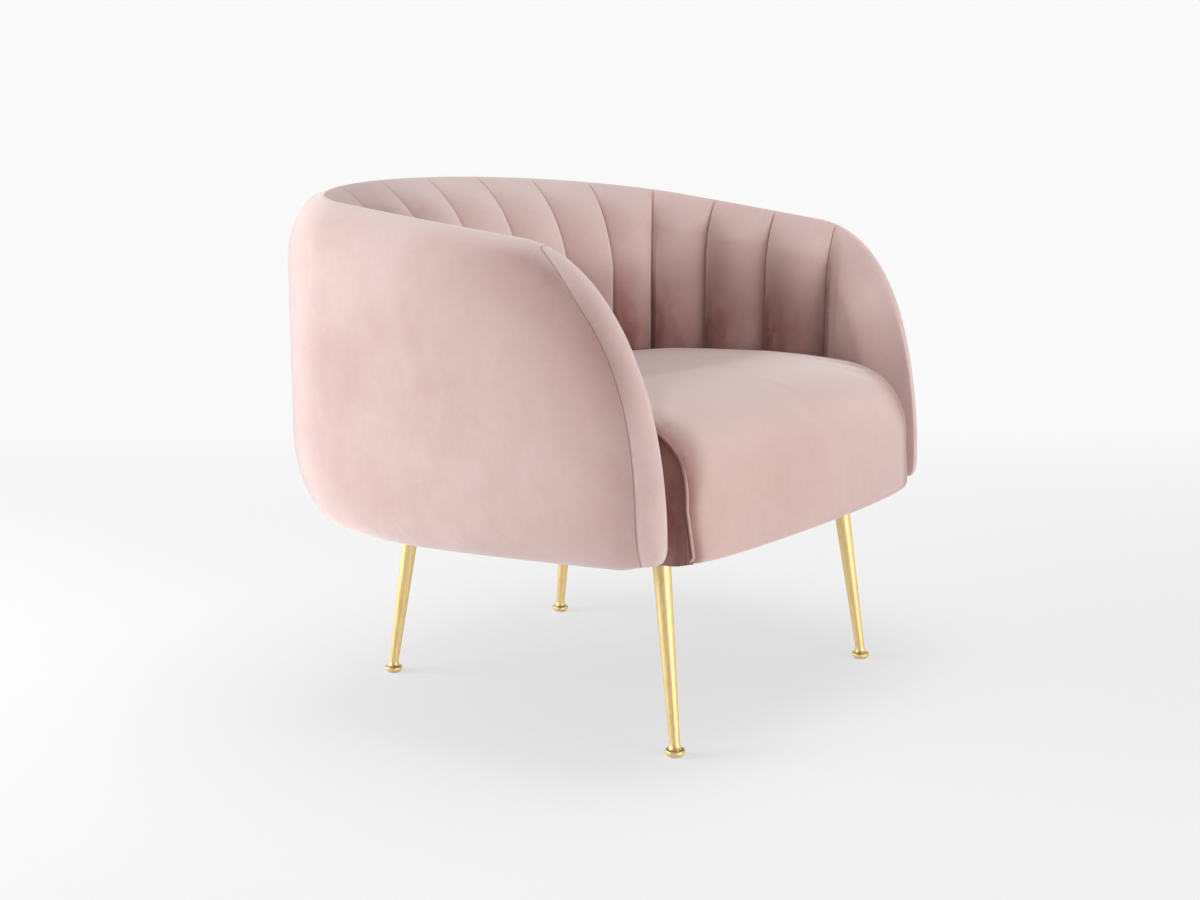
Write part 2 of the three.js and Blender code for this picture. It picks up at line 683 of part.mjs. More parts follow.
// Half width of the seat at a place along its side
function seatSideX(y) {
  const armEnd = seatEdge(SEAT_ARM);
  if (y > armEnd.y) {
    let low = SEAT_REAR;
    let high = SEAT_ARM;
    for (let i = 0; i < HALVINGS; i += 1) {
      const middle = (low + high) / 2;
      if (seatEdge(middle).y > y) low = middle;
      else high = middle;
    }
    return seatEdge(low).x;
  }
  const share = clamp01((armEnd.y - y) / (armEnd.y - seatFrontY(SEAT_FRONT_HALF_WIDTH)));
  return blend(armEnd.x, Math.min(SEAT_FRONT_HALF_WIDTH, armEnd.x), smoothShare([0, 1], share));
}

function seatTop(x, y, halfWidth) {
  const across = clamp01(Math.abs(x) / halfWidth);
  const back = seatEdge(0).y;
  const along = clamp01((back - y) / (back - seatDropStart(0)));
  const wave = Math.sin(Math.PI * blend(...SEAT_CROWN_SPAN_SHARES, along));
  const crown = SEAT_CROWN * (1 - across ** SEAT_CROWN_ROUNDNESS_SHARE) * wave;
  return SEAT_HEIGHT + crown - SEAT_SLOPE_SHARE * Math.max(0, y - seatDropStart(x));
}

function seatPadRows() {
  const rear = seatEdge(SEAT_REAR);
  const fallY = seatDropStart(SEAT_FRONT_HALF_WIDTH);
  return SEAT_BACK_ROW_SHARES.map((share) => SEAT_COLUMN_SHARES.map((u) => {
    const backPoint = seatEdge(u * SEAT_REAR);
    const wide = seatSideX(fallY);
    const sideY = blend(rear.y, fallY, share);
    const bulge = seatSideX(sideY) - blend(rear.x, wide, share);
    const x = blend(backPoint.x, u * wide, share) + u * bulge;
    const y = blend(backPoint.y, seatDropStart(u * wide), share);
    return new THREE.Vector3(x, y, seatTop(x, y, seatSideX(sideY)));
  }));
}

function seatFallRows() {
  const power = 2 / SEAT_DROP_ROUNDNESS_SHARE;
  return SEAT_FALL_SHARES.map((share) => SEAT_COLUMN_SHARES.map((u) => {
    const angle = share * FULL_ANGLE;
    const fall = 1 - Math.max(0, Math.cos(angle)) ** power;
    const forward = SEAT_DROP_REACH * Math.sin(angle) ** power;
    const wide = seatSideX(seatDropStart(SEAT_FRONT_HALF_WIDTH) - forward);
    const x = u * wide;
    const y = seatDropStart(x) - forward;
    const top = seatTop(x, seatDropStart(x), wide);
    return new THREE.Vector3(x, y, top - (top - SEAT_HEIGHT + SEAT_DROP_HEIGHT) * fall);
  }));
}

function seatFaceRows() {
  const top = SEAT_HEIGHT - SEAT_DROP_HEIGHT;
  const rows = SEAT_FACE_SHARES.map((share) => SEAT_COLUMN_SHARES.map((u) => {
    const x = u * (SEAT_FRONT_HALF_WIDTH - SEAT_SIDE_DRAW * share);
    return new THREE.Vector3(x, seatFrontY(x) - SEAT_FACE_LEAN * share, blend(top, UNDERSIDE, share));
  }));
  const hem = rows[rows.length - 1].map((p) => new THREE.Vector3(p.x, p.y + SEAT_HEM, UNDERSIDE));
  return [...rows, hem];
}

function makeSeat() {
  const top = seatPadRows();
  const pad = [...top, ...seatFallRows(), ...seatFaceRows()];
  const under = offsetGrid(pad, SEAT_PAD_THICKNESS);
  addPiece('seat_pad', slabGeometry(pad, under), SEAT_VELVET);
  const foamTop = top.map((row, r) => row.map((_, c) => {
    const p = under[r][c].clone();
    return p.setZ(p.z - FIT_GAP);
  }));
  const foamFoot = foamTop.map((row) => row.map((p) => new THREE.Vector3(p.x, p.y, BACK_FOOT)));
  addPiece('seat_foam', slabGeometry(foamTop, foamFoot), FOAM);
}

function boxingFrontY() {
  return seatFrontY(SEAT_FRONT_HALF_WIDTH) + SEAT_PAD_THICKNESS + 2 * SEAM_GAP;
}

// Boxing: the upright side panel between the seat's front corner and the arm
function makeBoxing() {
  const front = boxingFrontY();
  const rear = front + BOXING_LENGTH;
  const power = SEAT_DROP_ROUNDNESS_SHARE;
  const ys = evenShares(BOXING_COLUMNS).map((share) => blend(front, rear, share ** BOXING_SPREAD_SHARE));
  const topAt = (y) => {
    const start = seatDropStart(SEAT_FRONT_HALF_WIDTH);
    const reach = SEAT_DROP_REACH - SEAT_PAD_THICKNESS;
    const share = clamp01((start - y) / reach);
    const level = SEAT_HEIGHT - SEAT_DROP_HEIGHT;
    const height = SEAT_DROP_HEIGHT - SEAT_PAD_THICKNESS - 3 * FIT_GAP;
    return level + height * (1 - share ** power) ** (1 / power);
  };
  const sideX = (y) => Math.min(seatSideX(y), SEAT_FRONT_HALF_WIDTH);
  const rows = BOXING_ROW_SHARES.map((share) => ys.map((y) => {
    return new THREE.Vector3(sideX(y), y, blend(BOXING_FOOT, topAt(y), share));
  }));
  const back = rows.map((row) => row.map((p) => p.clone().setX(p.x - BOXING_THICKNESS)));
  bothSides('seat_boxing', rows, back, SEAT_VELVET);
}

// Moulded plywood behind the channels
function makeInnerShell() {
  const distances = evenShares(SHELL_COLUMNS, -ARM_END, ARM_END);
  const face = (extra) => CHANNEL_ROW_SHARES.slice(3).map((share, r) => distances.map((s) => {
    const railFoot = rimHeight(s) - TOP_RAIL_DROP - TOP_RAIL_HEIGHT - SEAM_GAP;
    const top = r === 0 ? railFoot : channelRows(s)[r + 3];
    return wallPoint(s, top, CHANNEL_THICKNESS + SHELL_GAP + extra - seamOffset(s, top));
  }));
  addPiece('inner_back_shell', slabGeometry(face(0), face(SHELL_PLY)), PLYWOOD);
}

function makeTopRail() {
  const end = ARM_END + POST_WIDTH / 2;
  const distances = evenShares(RAIL_COLUMNS, -end, end);
  const face = (offset) => [TOP_RAIL_DROP, TOP_RAIL_DROP + TOP_RAIL_HEIGHT].map((drop) => {
    return distances.map((s) => wallPoint(s, rimHeight(s) - drop, offset));
  });
  const [inner, outer] = [RAIL_OFFSET, RAIL_OFFSET + RAIL_DEPTH];
  addPiece('top_rail', slabGeometry(face(outer), face(inner)), TIMBER);
}

function makePost(name, distance) {
  const side = Math.sign(distance);
  const edges = [-1, 1].map((e) => distance + side * e * POST_WIDTH / 2);
  const face = (offset) => [0, 1].map((share) => edges.map((s) => {
    const top = rimHeight(s) - TOP_RAIL_DROP - TOP_RAIL_HEIGHT - SEAM_GAP;
    return wallPoint(s, blend(DECK + FIT_GAP, top, share), offset);
  }));
  const [inner, outer] = [RAIL_OFFSET, RAIL_OFFSET + RAIL_DEPTH];
  addPiece(name, slabGeometry(face(outer), face(inner)), TIMBER);
}

// Plan outline inside the shell, used by flat pieces
function planOutline(offset, endDistance, count) {
  return evenShares(count, -endDistance, endDistance).map((s) => {
    const at = planAt(s);
    return new THREE.Vector2(at.x + at.nx * offset, at.y + at.ny * offset);
  });
}

function flatPlate(outline, holes, thickness, bottom) {
  const shape = new THREE.Shape(outline);
  shape.holes = holes.map((hole) => new THREE.Path(hole));
  const geometry = new THREE.ExtrudeGeometry(shape, { depth: thickness, bevelEnabled: false });
  geometry.deleteAttribute('normal');
  geometry.deleteAttribute('uv');
  geometry.translate(0, 0, bottom);
  const welded = mergeVertices(geometry, WELD);
  return faceOutward(welded);
}

// Plywood ring on the rails; it steps in beside the boxing at the front
function makeRing() {
  const frontY = RAIL_THICKNESS - FRONT_RAIL_REACH;
  const stepY = boxingFrontY() + BOXING_LENGTH + 3 * SEAM_GAP;
  const end = distanceAtY(stepY);
  const innerX = SEAT_FRONT_HALF_WIDTH - BOXING_THICKNESS - 2 * FIT_GAP;
  const arc = planOutline(RING_OUTSET, end, OUTLINE_POINTS);
  const sideY = arc[0].y;
  const step = [[innerX, sideY], [innerX, frontY], [-innerX, frontY], [-innerX, sideY]];
  const outline = [...arc, ...step.map(([x, y]) => new THREE.Vector2(x, y))];
  const hole = planOutline(-RING_WIDTH, end - RING_WIDTH / 2, HOLE_POINTS).reverse();
  addPiece('base_ring', flatPlate(outline, [hole], RING_PLY, DECK - RING_PLY), PLYWOOD);
}

function box(name, size, centre, finish) {
  const geometry = new THREE.BoxGeometry(size.x, size.y, size.z);
  const mesh = addPiece(name, geometry, finish);
  mesh.position.copy(centre);
  return mesh;
}

function makeBaseRails() {
  const z = DECK - RING_PLY - FIT_GAP - (RAIL_HEIGHT - FIT_GAP) / 2;
  const high = RAIL_HEIGHT - FIT_GAP;
  const frontY = RAIL_THICKNESS / 2 - FRONT_RAIL_REACH;
  const long = 2 * SIDE_RAIL_HALF_SPACING - RAIL_THICKNESS - 2 * FIT_GAP;
  const frontSize = new THREE.Vector3(long, RAIL_THICKNESS, high);
  box('front_rail', frontSize, new THREE.Vector3(0, frontY, z), TIMBER);
  const backSize = new THREE.Vector3(2 * BACK_RAIL_HALF_WIDTH, RAIL_THICKNESS, high);
  box('back_rail', backSize, new THREE.Vector3(0, BACK_RAIL_REACH, z), TIMBER);
  const sideLong = SIDE_RAIL_BACK_REACH + FRONT_RAIL_REACH;
  const sideY = (SIDE_RAIL_BACK_REACH - FRONT_RAIL_REACH) / 2;
  for (const [label, side] of [['left', -1], ['right', 1]]) {
    const centre = new THREE.Vector3(side * SIDE_RAIL_HALF_SPACING, sideY, z);
    box(`side_rail_${label}`, new THREE.Vector3(RAIL_THICKNESS, sideLong, high), centre, TIMBER);
  }
}

// Elastic webbing on the ring under the seat foam
function makeWebbing() {
  const level = DECK + FIT_GAP + WEBBING_THICKNESS / 2;
  const frontY = RAIL_THICKNESS - FRONT_RAIL_REACH;
  const backY = RIM_BACK_REACH - RING_WIDTH + WEBBING_LAP;
  const length = backY - frontY;
  const centreY = (backY + frontY) / 2;
  [-1, 0, 1].forEach((i) => {
    const size = new THREE.Vector3(WEBBING_WIDTH, length, WEBBING_THICKNESS);
    box(`webbing_${i + 2}`, size, new THREE.Vector3(i * WEBBING_SPACING, centreY, level), WEBBING);
  });
}

// The four legs: foot centre, lean towards the middle, and the name of the place
const LEGS = [
  ['front_left', -1, -1],
  ['front_right', 1, -1],
  ['rear_left', -1, 1],
  ['rear_right', 1, 1],
];

function footCentre(sideX, sideY) {
  const half = sideY < 0 ? FRONT_FOOT_HALF_SPACING : REAR_FOOT_HALF_SPACING;
  const reach = sideY < 0 ? FRONT_FOOT_REACH : REAR_FOOT_REACH;
  return new THREE.Vector2(sideX * half, sideY * reach);
}

function leanAt(height) {
  return height / UNDERSIDE;
}

function legCentre(sideX, sideY, height) {
  const foot = footCentre(sideX, sideY);
  foot.x -= sideX * LEG_LEAN_IN * leanAt(height);
  foot.y -= sideY * LEG_LEAN_ALONG * leanAt(height);
  return foot;
}

// Turned piece whose level rings follow the leaning leg
function leaningTurning(profile, sideX, sideY, sides = LEG_SIDES) {
  const geometry = new THREE.LatheGeometry(profile.map(([r, z]) => new THREE.Vector2(r, z)), sides);
  geometry.rotateX(FULL_ANGLE);
  geometry.deleteAttribute('normal');
  geometry.deleteAttribute('uv');
  const place = geometry.attributes.position;
  for (let i = 0; i < place.count; i += 1) {
    const centre = legCentre(sideX, sideY, place.getZ(i));
    place.setXY(i, place.getX(i) + centre.x, place.getY(i) + centre.y);
  }
  const positions = Array.from(place.array);
  return weldedGeometry(positions, Array.from(geometry.index.array));
}

function uprightTurning(profile, centre, sides = LEG_SIDES) {
  const geometry = new THREE.LatheGeometry(profile.map(([r, z]) => new THREE.Vector2(r, z)), sides);
  geometry.rotateX(FULL_ANGLE);
  geometry.translate(centre.x, centre.y, 0);
  geometry.deleteAttribute('normal');
  geometry.deleteAttribute('uv');
  return weldedGeometry(Array.from(geometry.attributes.position.array), Array.from(geometry.index.array));
}

const PLATE_BOTTOM = UNDERSIDE - FIT_GAP - PLATE_THICKNESS;
const LEG_TOP = PLATE_BOTTOM - FIT_GAP;
const FOOT_TOP = PAD_HEIGHT + FIT_GAP + FOOT_HEIGHT;

function makeLeg(label, sideX, sideY) {
  const bottom = FOOT_TOP + FIT_GAP;
  const bore = STUD_DIAMETER / 2 + STUD_PLAY;
  const boreFoot = LEG_TOP - STUD_LENGTH_IN_LEG - STUD_PLAY;
  const top = LEG_TOP_DIAMETER / 2;
  const foot = LEG_FOOT_DIAMETER / 2;
  const outside = [[0, bottom], [foot, bottom], [top, LEG_TOP]];
  const profile = [...outside, [bore, LEG_TOP], [bore, boreFoot], [0, boreFoot]];
  addPiece(`leg_${label}`, leaningTurning(profile, sideX, sideY), BRASS);
}

function makeFoot(label, sideX, sideY) {
  const centre = legCentre(sideX, sideY, FOOT_TOP);
  const half = FOOT_DIAMETER / 2;
  const low = PAD_HEIGHT + FIT_GAP;
  const r = FOOT_RIM_ROUNDING;
  const lowEdge = [[0, low], [half - r, low], [half, low + r]];
  const profile = [...lowEdge, [half, FOOT_TOP - r], [half - r, FOOT_TOP], [0, FOOT_TOP]];
  addPiece(`foot_disc_${label}`, uprightTurning(profile, centre), BRASS);
  const pad = [[0, 0], [PAD_DIAMETER / 2, 0], [PAD_DIAMETER / 2, PAD_HEIGHT], [0, PAD_HEIGHT]];
  addPiece(`floor_pad_${label}`, uprightTurning(pad, centre, LEG_SIDES / 2), NYLON);
}

function manifoldOf(geometry) {
  const triVerts = Uint32Array.from(geometry.index.array);
  const vertProperties = Float32Array.from(geometry.attributes.position.array);
  return new wasm.Manifold(new wasm.Mesh({ numProp: 3, vertProperties, triVerts }));
}

function geometryOf(manifold) {
  const mesh = manifold.getMesh();
  return weldedGeometry(Array.from(mesh.vertProperties), Array.from(mesh.triVerts));
}

// Plate under the seat frame, bored for the stud, and the stud that holds the leg
function makePlate(label, sideX, sideY) {
  const centre = legCentre(sideX, sideY, UNDERSIDE);
  const half = PLATE_SIZE / 2;
  const outline = [[-half, -half], [half, -half], [half, half], [-half, half]].map(([x, y]) => {
    return new THREE.Vector2(centre.x + x, centre.y + y);
  });
  const plate = manifoldOf(flatPlate(outline, [], PLATE_THICKNESS, PLATE_BOTTOM));
  const reach = STUD_DIAMETER / 2 + STUD_PLAY;
  const cutter = [
    [0, PLATE_BOTTOM - PLATE_THICKNESS], [reach, PLATE_BOTTOM - PLATE_THICKNESS],
    [reach, UNDERSIDE + PLATE_THICKNESS], [0, UNDERSIDE + PLATE_THICKNESS],
  ];
  const bored = plate.subtract(manifoldOf(leaningTurning(cutter, sideX, sideY, LEG_SIDES / 2)));
  addPiece(`leg_plate_${label}`, geometryOf(bored), STEEL);
  const low = LEG_TOP - STUD_LENGTH_IN_LEG;
  const high = UNDERSIDE + STUD_LENGTH_IN_BLOCK;
  const stud = [[0, low], [STUD_DIAMETER / 2, low], [STUD_DIAMETER / 2, high], [0, high]];
  addPiece(`leg_stud_${label}`, leaningTurning(stud, sideX, sideY, LEG_SIDES / 2), STEEL);
}

// Blocks above the plates take the studs
function makeBlock(label, sideX, sideY) {
  const centre = legCentre(sideX, sideY, UNDERSIDE + RAIL_HEIGHT / 2);
  const innerX = SIDE_RAIL_HALF_SPACING - RAIL_THICKNESS / 2 - FIT_GAP;
  const frontY = RAIL_THICKNESS - FRONT_RAIL_REACH + FIT_GAP;
  const backY = BACK_RAIL_REACH - RAIL_THICKNESS / 2 - FIT_GAP;
  const outerX = sideY < 0 ? innerX : Math.abs(centre.x) + BLOCK_LENGTH / 4;
  const yEdge = sideY < 0 ? frontY : backY;
  const yOther = yEdge - sideY * BLOCK_LENGTH;
  const xs = [sideX * outerX, sideX * (outerX - BLOCK_LENGTH)];
  const outline = [[xs[0], yEdge], [xs[1], yEdge], [xs[1], yOther], [xs[0], yOther]].map(([x, y]) => {
    return new THREE.Vector2(x, y);
  });
  const bottom = UNDERSIDE + DUST_COVER_THICKNESS + FIT_GAP;
  const height = DECK - RING_PLY - FIT_GAP - bottom;
  const block = manifoldOf(flatPlate(outline, [], height, bottom));
  const reach = STUD_DIAMETER / 2 + STUD_PLAY;
  const top = UNDERSIDE + STUD_LENGTH_IN_BLOCK + STUD_PLAY;
  const cutter = [[0, PLATE_BOTTOM], [reach, PLATE_BOTTOM], [reach, top], [0, top]];
  const bored = block.subtract(manifoldOf(leaningTurning(cutter, sideX, sideY, LEG_SIDES / 2)));
  addPiece(`corner_block_${label}`, geometryOf(bored), TIMBER);
}

// Black lining under the seat, cut out round the leg studs
function makeDustCover() {
  const frontY = SEAT_HEM + DUST_COVER_MARGIN - SEAT_FRONT_REACH + SEAT_BOW;
  const sideX = SEAT_FRONT_HALF_WIDTH - DUST_COVER_MARGIN;
  const end = distanceAtY(frontY + PANEL_RETURN + DUST_COVER_MARGIN);
  const edge = (s) => outerOffset(s, UNDERSIDE) - LIP_REACH - DUST_COVER_MARGIN;
  const arc = evenShares(OUTLINE_POINTS, -end, end).map((s) => {
    const at = planAt(s);
    return new THREE.Vector2(at.x + at.nx * edge(s), at.y + at.ny * edge(s));
  });
  const sideY = arc[0].y;
  const nose = [[sideX, sideY], [sideX, frontY], [-sideX, frontY], [-sideX, sideY]];
  const outline = [...arc, ...nose.map(([x, y]) => new THREE.Vector2(x, y))];
  const sheet = manifoldOf(flatPlate(outline, [], DUST_COVER_THICKNESS, UNDERSIDE + FIT_GAP));
  const reach = STUD_DIAMETER;
  const low = PLATE_BOTTOM;
  const high = UNDERSIDE + RAIL_HEIGHT;
  const cutter = [[0, low], [reach, low], [reach, high], [0, high]];
  const cut = LEGS.reduce((rest, [, sideX, sideY]) => {
    return rest.subtract(manifoldOf(leaningTurning(cutter, sideX, sideY, LEG_SIDES / 2)));
  }, sheet);
  addPiece('dust_cover', geometryOf(cut), LINING);
}

makeOuterCover();
makeRimRoll();
for (let number = 0; number < CHANNELS; number += 1) makeChannel(number);
makeArmPanels();
makeSeat();
makeBoxing();
makeInnerShell();
makeTopRail();
makePost('back_post_left', -BACK_POST_STRETCH);
makePost('back_post_right', BACK_POST_STRETCH);
makePost('arm_post_left', -ARM_END);
makePost('arm_post_right', ARM_END);
makeRing();
makeBaseRails();
makeWebbing();
makeDustCover();
for (const [label, sideX, sideY] of LEGS) {
  makeBlock(label, sideX, sideY);
  makePlate(label, sideX, sideY);
  makeLeg(label, sideX, sideY);
  makeFoot(label, sideX, sideY);
}

export default chair;
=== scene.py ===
"""Tub chair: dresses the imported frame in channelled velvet, a tight seat and brass legs.

Metres, +Z up, front towards -Y. Stretches along the rim are measured from the middle of
the back, to the right where they are positive.
"""
import math

import bmesh
import bpy
import numpy as np
from bpy.props import FloatProperty, FloatVectorProperty, IntProperty, PointerProperty
from mathutils import Matrix, Vector


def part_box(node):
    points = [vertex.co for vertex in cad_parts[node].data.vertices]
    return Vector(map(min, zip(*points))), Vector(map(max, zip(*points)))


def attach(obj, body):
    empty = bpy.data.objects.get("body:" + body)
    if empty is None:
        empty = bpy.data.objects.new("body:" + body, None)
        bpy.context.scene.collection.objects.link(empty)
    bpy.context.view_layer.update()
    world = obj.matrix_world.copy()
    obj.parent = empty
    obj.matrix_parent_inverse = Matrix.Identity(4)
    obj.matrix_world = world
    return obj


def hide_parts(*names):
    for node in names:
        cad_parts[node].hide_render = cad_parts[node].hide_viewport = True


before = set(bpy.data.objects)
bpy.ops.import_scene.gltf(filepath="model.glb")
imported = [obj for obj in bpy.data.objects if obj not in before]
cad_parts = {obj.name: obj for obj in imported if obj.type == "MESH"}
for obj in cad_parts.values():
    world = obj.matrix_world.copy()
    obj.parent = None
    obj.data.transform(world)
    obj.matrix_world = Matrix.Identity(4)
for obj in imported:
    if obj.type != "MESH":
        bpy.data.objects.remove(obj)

bl_info = {
    "name": "Channelled Tub Chair",
    "version": (1, 0, 0),
    "blender": (4, 5, 0),
    "location": "View3D > Sidebar > Tub Chair",
    "description": "Covers a tub chair's frame with channelled velvet and brass legs",
    "category": "Object",
}

SIDES = {"right": 1, "left": -1}
CORNERS = ("front_left", "front_right", "rear_left", "rear_right")
MILLIMETRE = 0.001


def lowest(node):
    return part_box(node)[0]


def highest(node):
    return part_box(node)[1]


def linear(hex_colour):
    """Linear red, green and blue of an sRGB hex colour."""
    values = [int(hex_colour[i:i + 2], 16) / 255 for i in (1, 3, 5)]
    return [v / 12.92 if v <= 0.04045 else ((v + 0.055) / 1.055) ** 2.4 for v in values]


def length(name, default, description):
    return FloatProperty(
        name=name, description=description, default=default, unit="LENGTH", precision=4
    )


def share(name, default, description):
    return FloatProperty(
        name=name, description=description, default=default, min=0, max=1, subtype="FACTOR"
    )


def colour(name, hex_colour, description):
    return FloatVectorProperty(
        name=name, description=description, default=linear(hex_colour), min=0, max=1,
        subtype="COLOR",
    )


class ShellSizes(bpy.types.PropertyGroup):
    """Sizes of the upholstered shell."""

    underside: length("Underside", lowest("outer_cover").z, "Floor to the bottom of the shell")
    back_height: length("Back Height", highest("rim_roll").z, "Floor to the rim at the back")
    arm_height: length("Arm Height", 0.652, "Floor to the rim where the arm turns down")
    arm_rise: length("Arm Rise", 0.037, "Rise of the arm's rim towards the back")
    back_rise: share("Back Rise", 0.75, "Even part of the rim's rise round the back")
    half_width: length("Rim Half Width", 0.393, "Middle of the chair to the rim's widest place")
    back_reach: length("Back Reach", 0.301, "Middle of the chair to the back of the rim")
    back_depth: length("Back Depth", 0.161, "Depth of the half ellipse round the back")
    tip_reach: length(
        "Arm Tip Reach", -lowest("arm_front_panel_right").y, "Middle to the arms' front edge"
    )
    tip_closing: length("Arm Closing", 0.054, "How far each arm closes in to its tip")
    turn_reach: length("Arm Turn", 0.190, "Length over which the arm turns down in front")
    turn_roundness: FloatProperty(
        name="Turn Roundness", description="2 is an ellipse, more is squarer", default=2.2, min=1
    )
    toe_reach: length("Toe Reach", 0.006, "Rounding of the front edge at the underside")
    toe_height: length("Toe Height", 0.020, "Height of that rounding")
    tip_lift: length("Tip Lift", 0.014, "How far the arms' lower front corners are drawn up")
    toe_turn: share("Toe Turn", 0.65, "Part of a quarter turn that the toe makes")
    back_swell: length("Back Swell", 0.049, "How far the back's outside stands past the rim")
    arm_swell: length("Arm Swell", 0.036, "How far the arm's outside stands past the rim")
    back_swell_drop: length("Back Swell Drop", 0.088, "Rim down to the back's full swell")
    arm_swell_drop: length("Arm Swell Drop", 0.066, "Rim down to the arm's full swell")
    back_tuck: length("Back Tuck", 0.085, "How far the back's lower edge is drawn in")
    arm_tuck: length("Arm Tuck", 0.038, "How far the arm's lower edge is drawn in")
    back_tuck_height: length("Back Tuck Height", 0.140, "Height of the back's drawn-in edge")
    arm_tuck_height: length("Arm Tuck Height", 0.072, "Height of the arm's drawn-in edge")
    back_padding: length("Back Padding", 0.098, "Rim in to the seams of the back's channels")
    arm_padding: length("Arm Padding", 0.026, "Rim in to the seams of the arm's channels")
    back_padding_drop: length("Back Padding Drop", 0.150, "Rim down to the full back padding")
    arm_padding_drop: length("Arm Padding Drop", 0.090, "Rim down to the full arm padding")
    channels: IntProperty(
        name="Channels", description="Upright channels round the inside", default=13, min=1
    )
    channel_bulge: length("Channel Bulge", 0.022, "How far a channel stands past its seams")
    channel_fade: length("Channel Fade", 0.056, "Drop over which a channel reaches its bulge")
    cross_seam: length("Cross Seam", 0.035, "Start of the arm's turn to the seam over its crest")
    outer_seam_drop: length("Facing Seam Drop", 0.020, "Rim down to the arm facing's seam")


class SeatSizes(bpy.types.PropertyGroup):
    """Sizes of the tight seat."""

    height: length("Seat Height", 0.446, "Floor to the seat's edge beside the arms")
    front_reach: length("Front Reach", -lowest("seat_pad").y, "Middle to the seat's front")
    half_width: length(
        "Front Half Width", highest("seat_boxing_right").x, "Middle to the seat's side"
    )
    bow: length("Front Bow", 0.014, "The front's middle ahead of its corners")
    slope: share("Slope", 0.035, "Fall to the back")
    crown: length("Crown", 0.016, "Rise of the seat's middle")
    drop_reach: length("Front Fall Reach", 0.160, "Length of the rounded fall to the front")
    drop_height: length("Front Fall Height", 0.116, "Height of the rounded fall")
    thickness: length("Pad Thickness", 0.026, "Padding over the seat's foam")
    edge_roundness: length("Edge Radius", 0.017, "Rounding along the seat's side edges")
    hem_radius: length("Hem Radius", 0.010, "Rounding of the front's lower edge")
    front_puff: length("Front Puff", 0.001, "How far the front stands proud beside its seams")
    face_lean: length("Face Lean", 0.006, "The front's foot ahead of its top")
    side_draw: length("Side Draw", 0.005, "How far the corners draw in towards the foot")


class LegSizes(bpy.types.PropertyGroup):
    """Small radii of the turned legs and feet."""

    foot_flare: length("Foot Flare", 0.0022, "How far the leg flares out onto its disc")
    flare_height: length("Flare Height", 0.006, "Height of that flare")
    rim_radius: length("Disc Rim Radius", 0.0026, "Rounding of the foot disc's rim")


class FinishColours(bpy.types.PropertyGroup):
    """Colours of the visible finishes."""

    velvet_light: colour("Velvet Light", "#E4CBC6", "Pile brushed towards the light")
    velvet_deep: colour("Velvet Deep", "#D2B2AD", "Pile brushed away from the light")
    # painted shade colour, mixed into the pile wherever shade is painted: in seams, creases,
    # gaps and places turned from the light
    velvet_painted_shade: colour("Velvet Crease", "#74302A", "Crushed pile down in the seams")
    seat_light: colour("Seat Light", "#D8B9B1", "Worn-in pile of the seat")
    seat_deep: colour("Seat Deep", "#CBA8A0", "Seat's pile brushed away from the light")
    brass: colour("Brass", "#F3DCA4", "Brushed brass")
    brass_shade: colour("Brass Shade", "#E3C588", "Brass down in the brush lines")
    floor: colour("Floor", "#F2F2F3", "Studio floor")


def blend(start, end, part):
    return start + (end - start) * part


def smooth(start, end, value):
    """0 before start, 1 after end, and an even curve between."""
    part = np.clip((value - start) / (end - start), 0, 1)
    return part * part * (3 - 2 * part)


def rounded_rise(part, roundness):
    """Rises steeply from 0 and levels out at 1."""
    return (1 - (1 - np.clip(part, 0, 1)) ** roundness) ** (1 / roundness)


def rolled_depth(distance, radius):
    """How far an edge of this radius is below the surface, at a distance in from the edge."""
    left = np.clip(radius - distance, 0, radius)
    return radius - np.sqrt(radius**2 - left**2)


def way_to_line(line_s, line_z, s, z):
    """Shortest way from each place on the wall to a line on it."""
    s, z = np.broadcast_arrays(s, z)
    flat = np.stack([s.ravel(), z.ravel()], 1)
    line = np.stack([line_s, line_z], 1)
    step = np.diff(line, axis=0)
    square = np.maximum((step**2).sum(1), 1e-12)
    ways = []
    for first in range(0, len(flat), WAY_BATCH):
        to_place = flat[first:first + WAY_BATCH, None, :] - line[None, :-1]
        part = np.clip((to_place * step).sum(2) / square, 0, 1)
        rest = to_place - part[..., None] * step
        ways.append(np.sqrt((rest**2).sum(2).min(1)))
    return np.concatenate(ways).reshape(s.shape)


def steps(count, end=1.0, power=1.0):
    """A column of steps up to an end, without its 0, packed towards 0 by a power."""
    return (np.linspace(0, end, count + 1)[1:] ** power)[:, None]


def packed_ends(count, power):
    """Places from -1 to 1, packed towards both ends by a power."""
    part = np.linspace(-1, 1, count + 1)
    return np.sign(part) * (1 - (1 - np.abs(part)) ** power)


def behind(points, normals, depths, axis=0):
    """Copies of an edge's points at depths behind the surface, stacked along an axis."""
    return np.stack([points - normals * depth for depth in depths], axis)


QUARTER = math.pi / 2
PLAN_STEPS = 700
PLAN_END = 1.15  # the plan is worked out a little past the arm's tip
RIM_STEPS = 400
TOE_STEPS = 40
WAY_BATCH = 4000  # places that are measured against a line at a time

# Stretches where back sizes change into arm sizes, from the end of the half ellipse
SWELL_CHANGE = (0.025, 0.445)
TUCK_CHANGE = (-0.125, 0.145)
PADDING_CHANGE = (-0.255, 0.105)
TUCK_FADE_DROP = 0.040  # no tuck at the rim itself
ARM_FULLNESS = 2.7  # 2 is an even curve out from the rim, more is fuller
FULLNESS_HEIGHTS = (0.42, 0.60)
TIP_LIFT_REACH = 0.060  # back from the arm's tip, and up from the underside
TIP_LIFT_HEIGHT = 0.110
PADDING_ROUNDNESS = 1.5
CHANNEL_START = 0.0005  # below the rim
CHANNEL_ROUNDNESS = 2.0
CREASE_ROUNDNESS = 9.0  # squarer second shape that gives a channel its steep sides
CREASE_PART = 0.12
PANEL_FILL = 0.33  # of a pitch, where the arm facing reaches its full bulge
GROOVE_WIDTH = 0.0017  # sewn groove along each channel seam
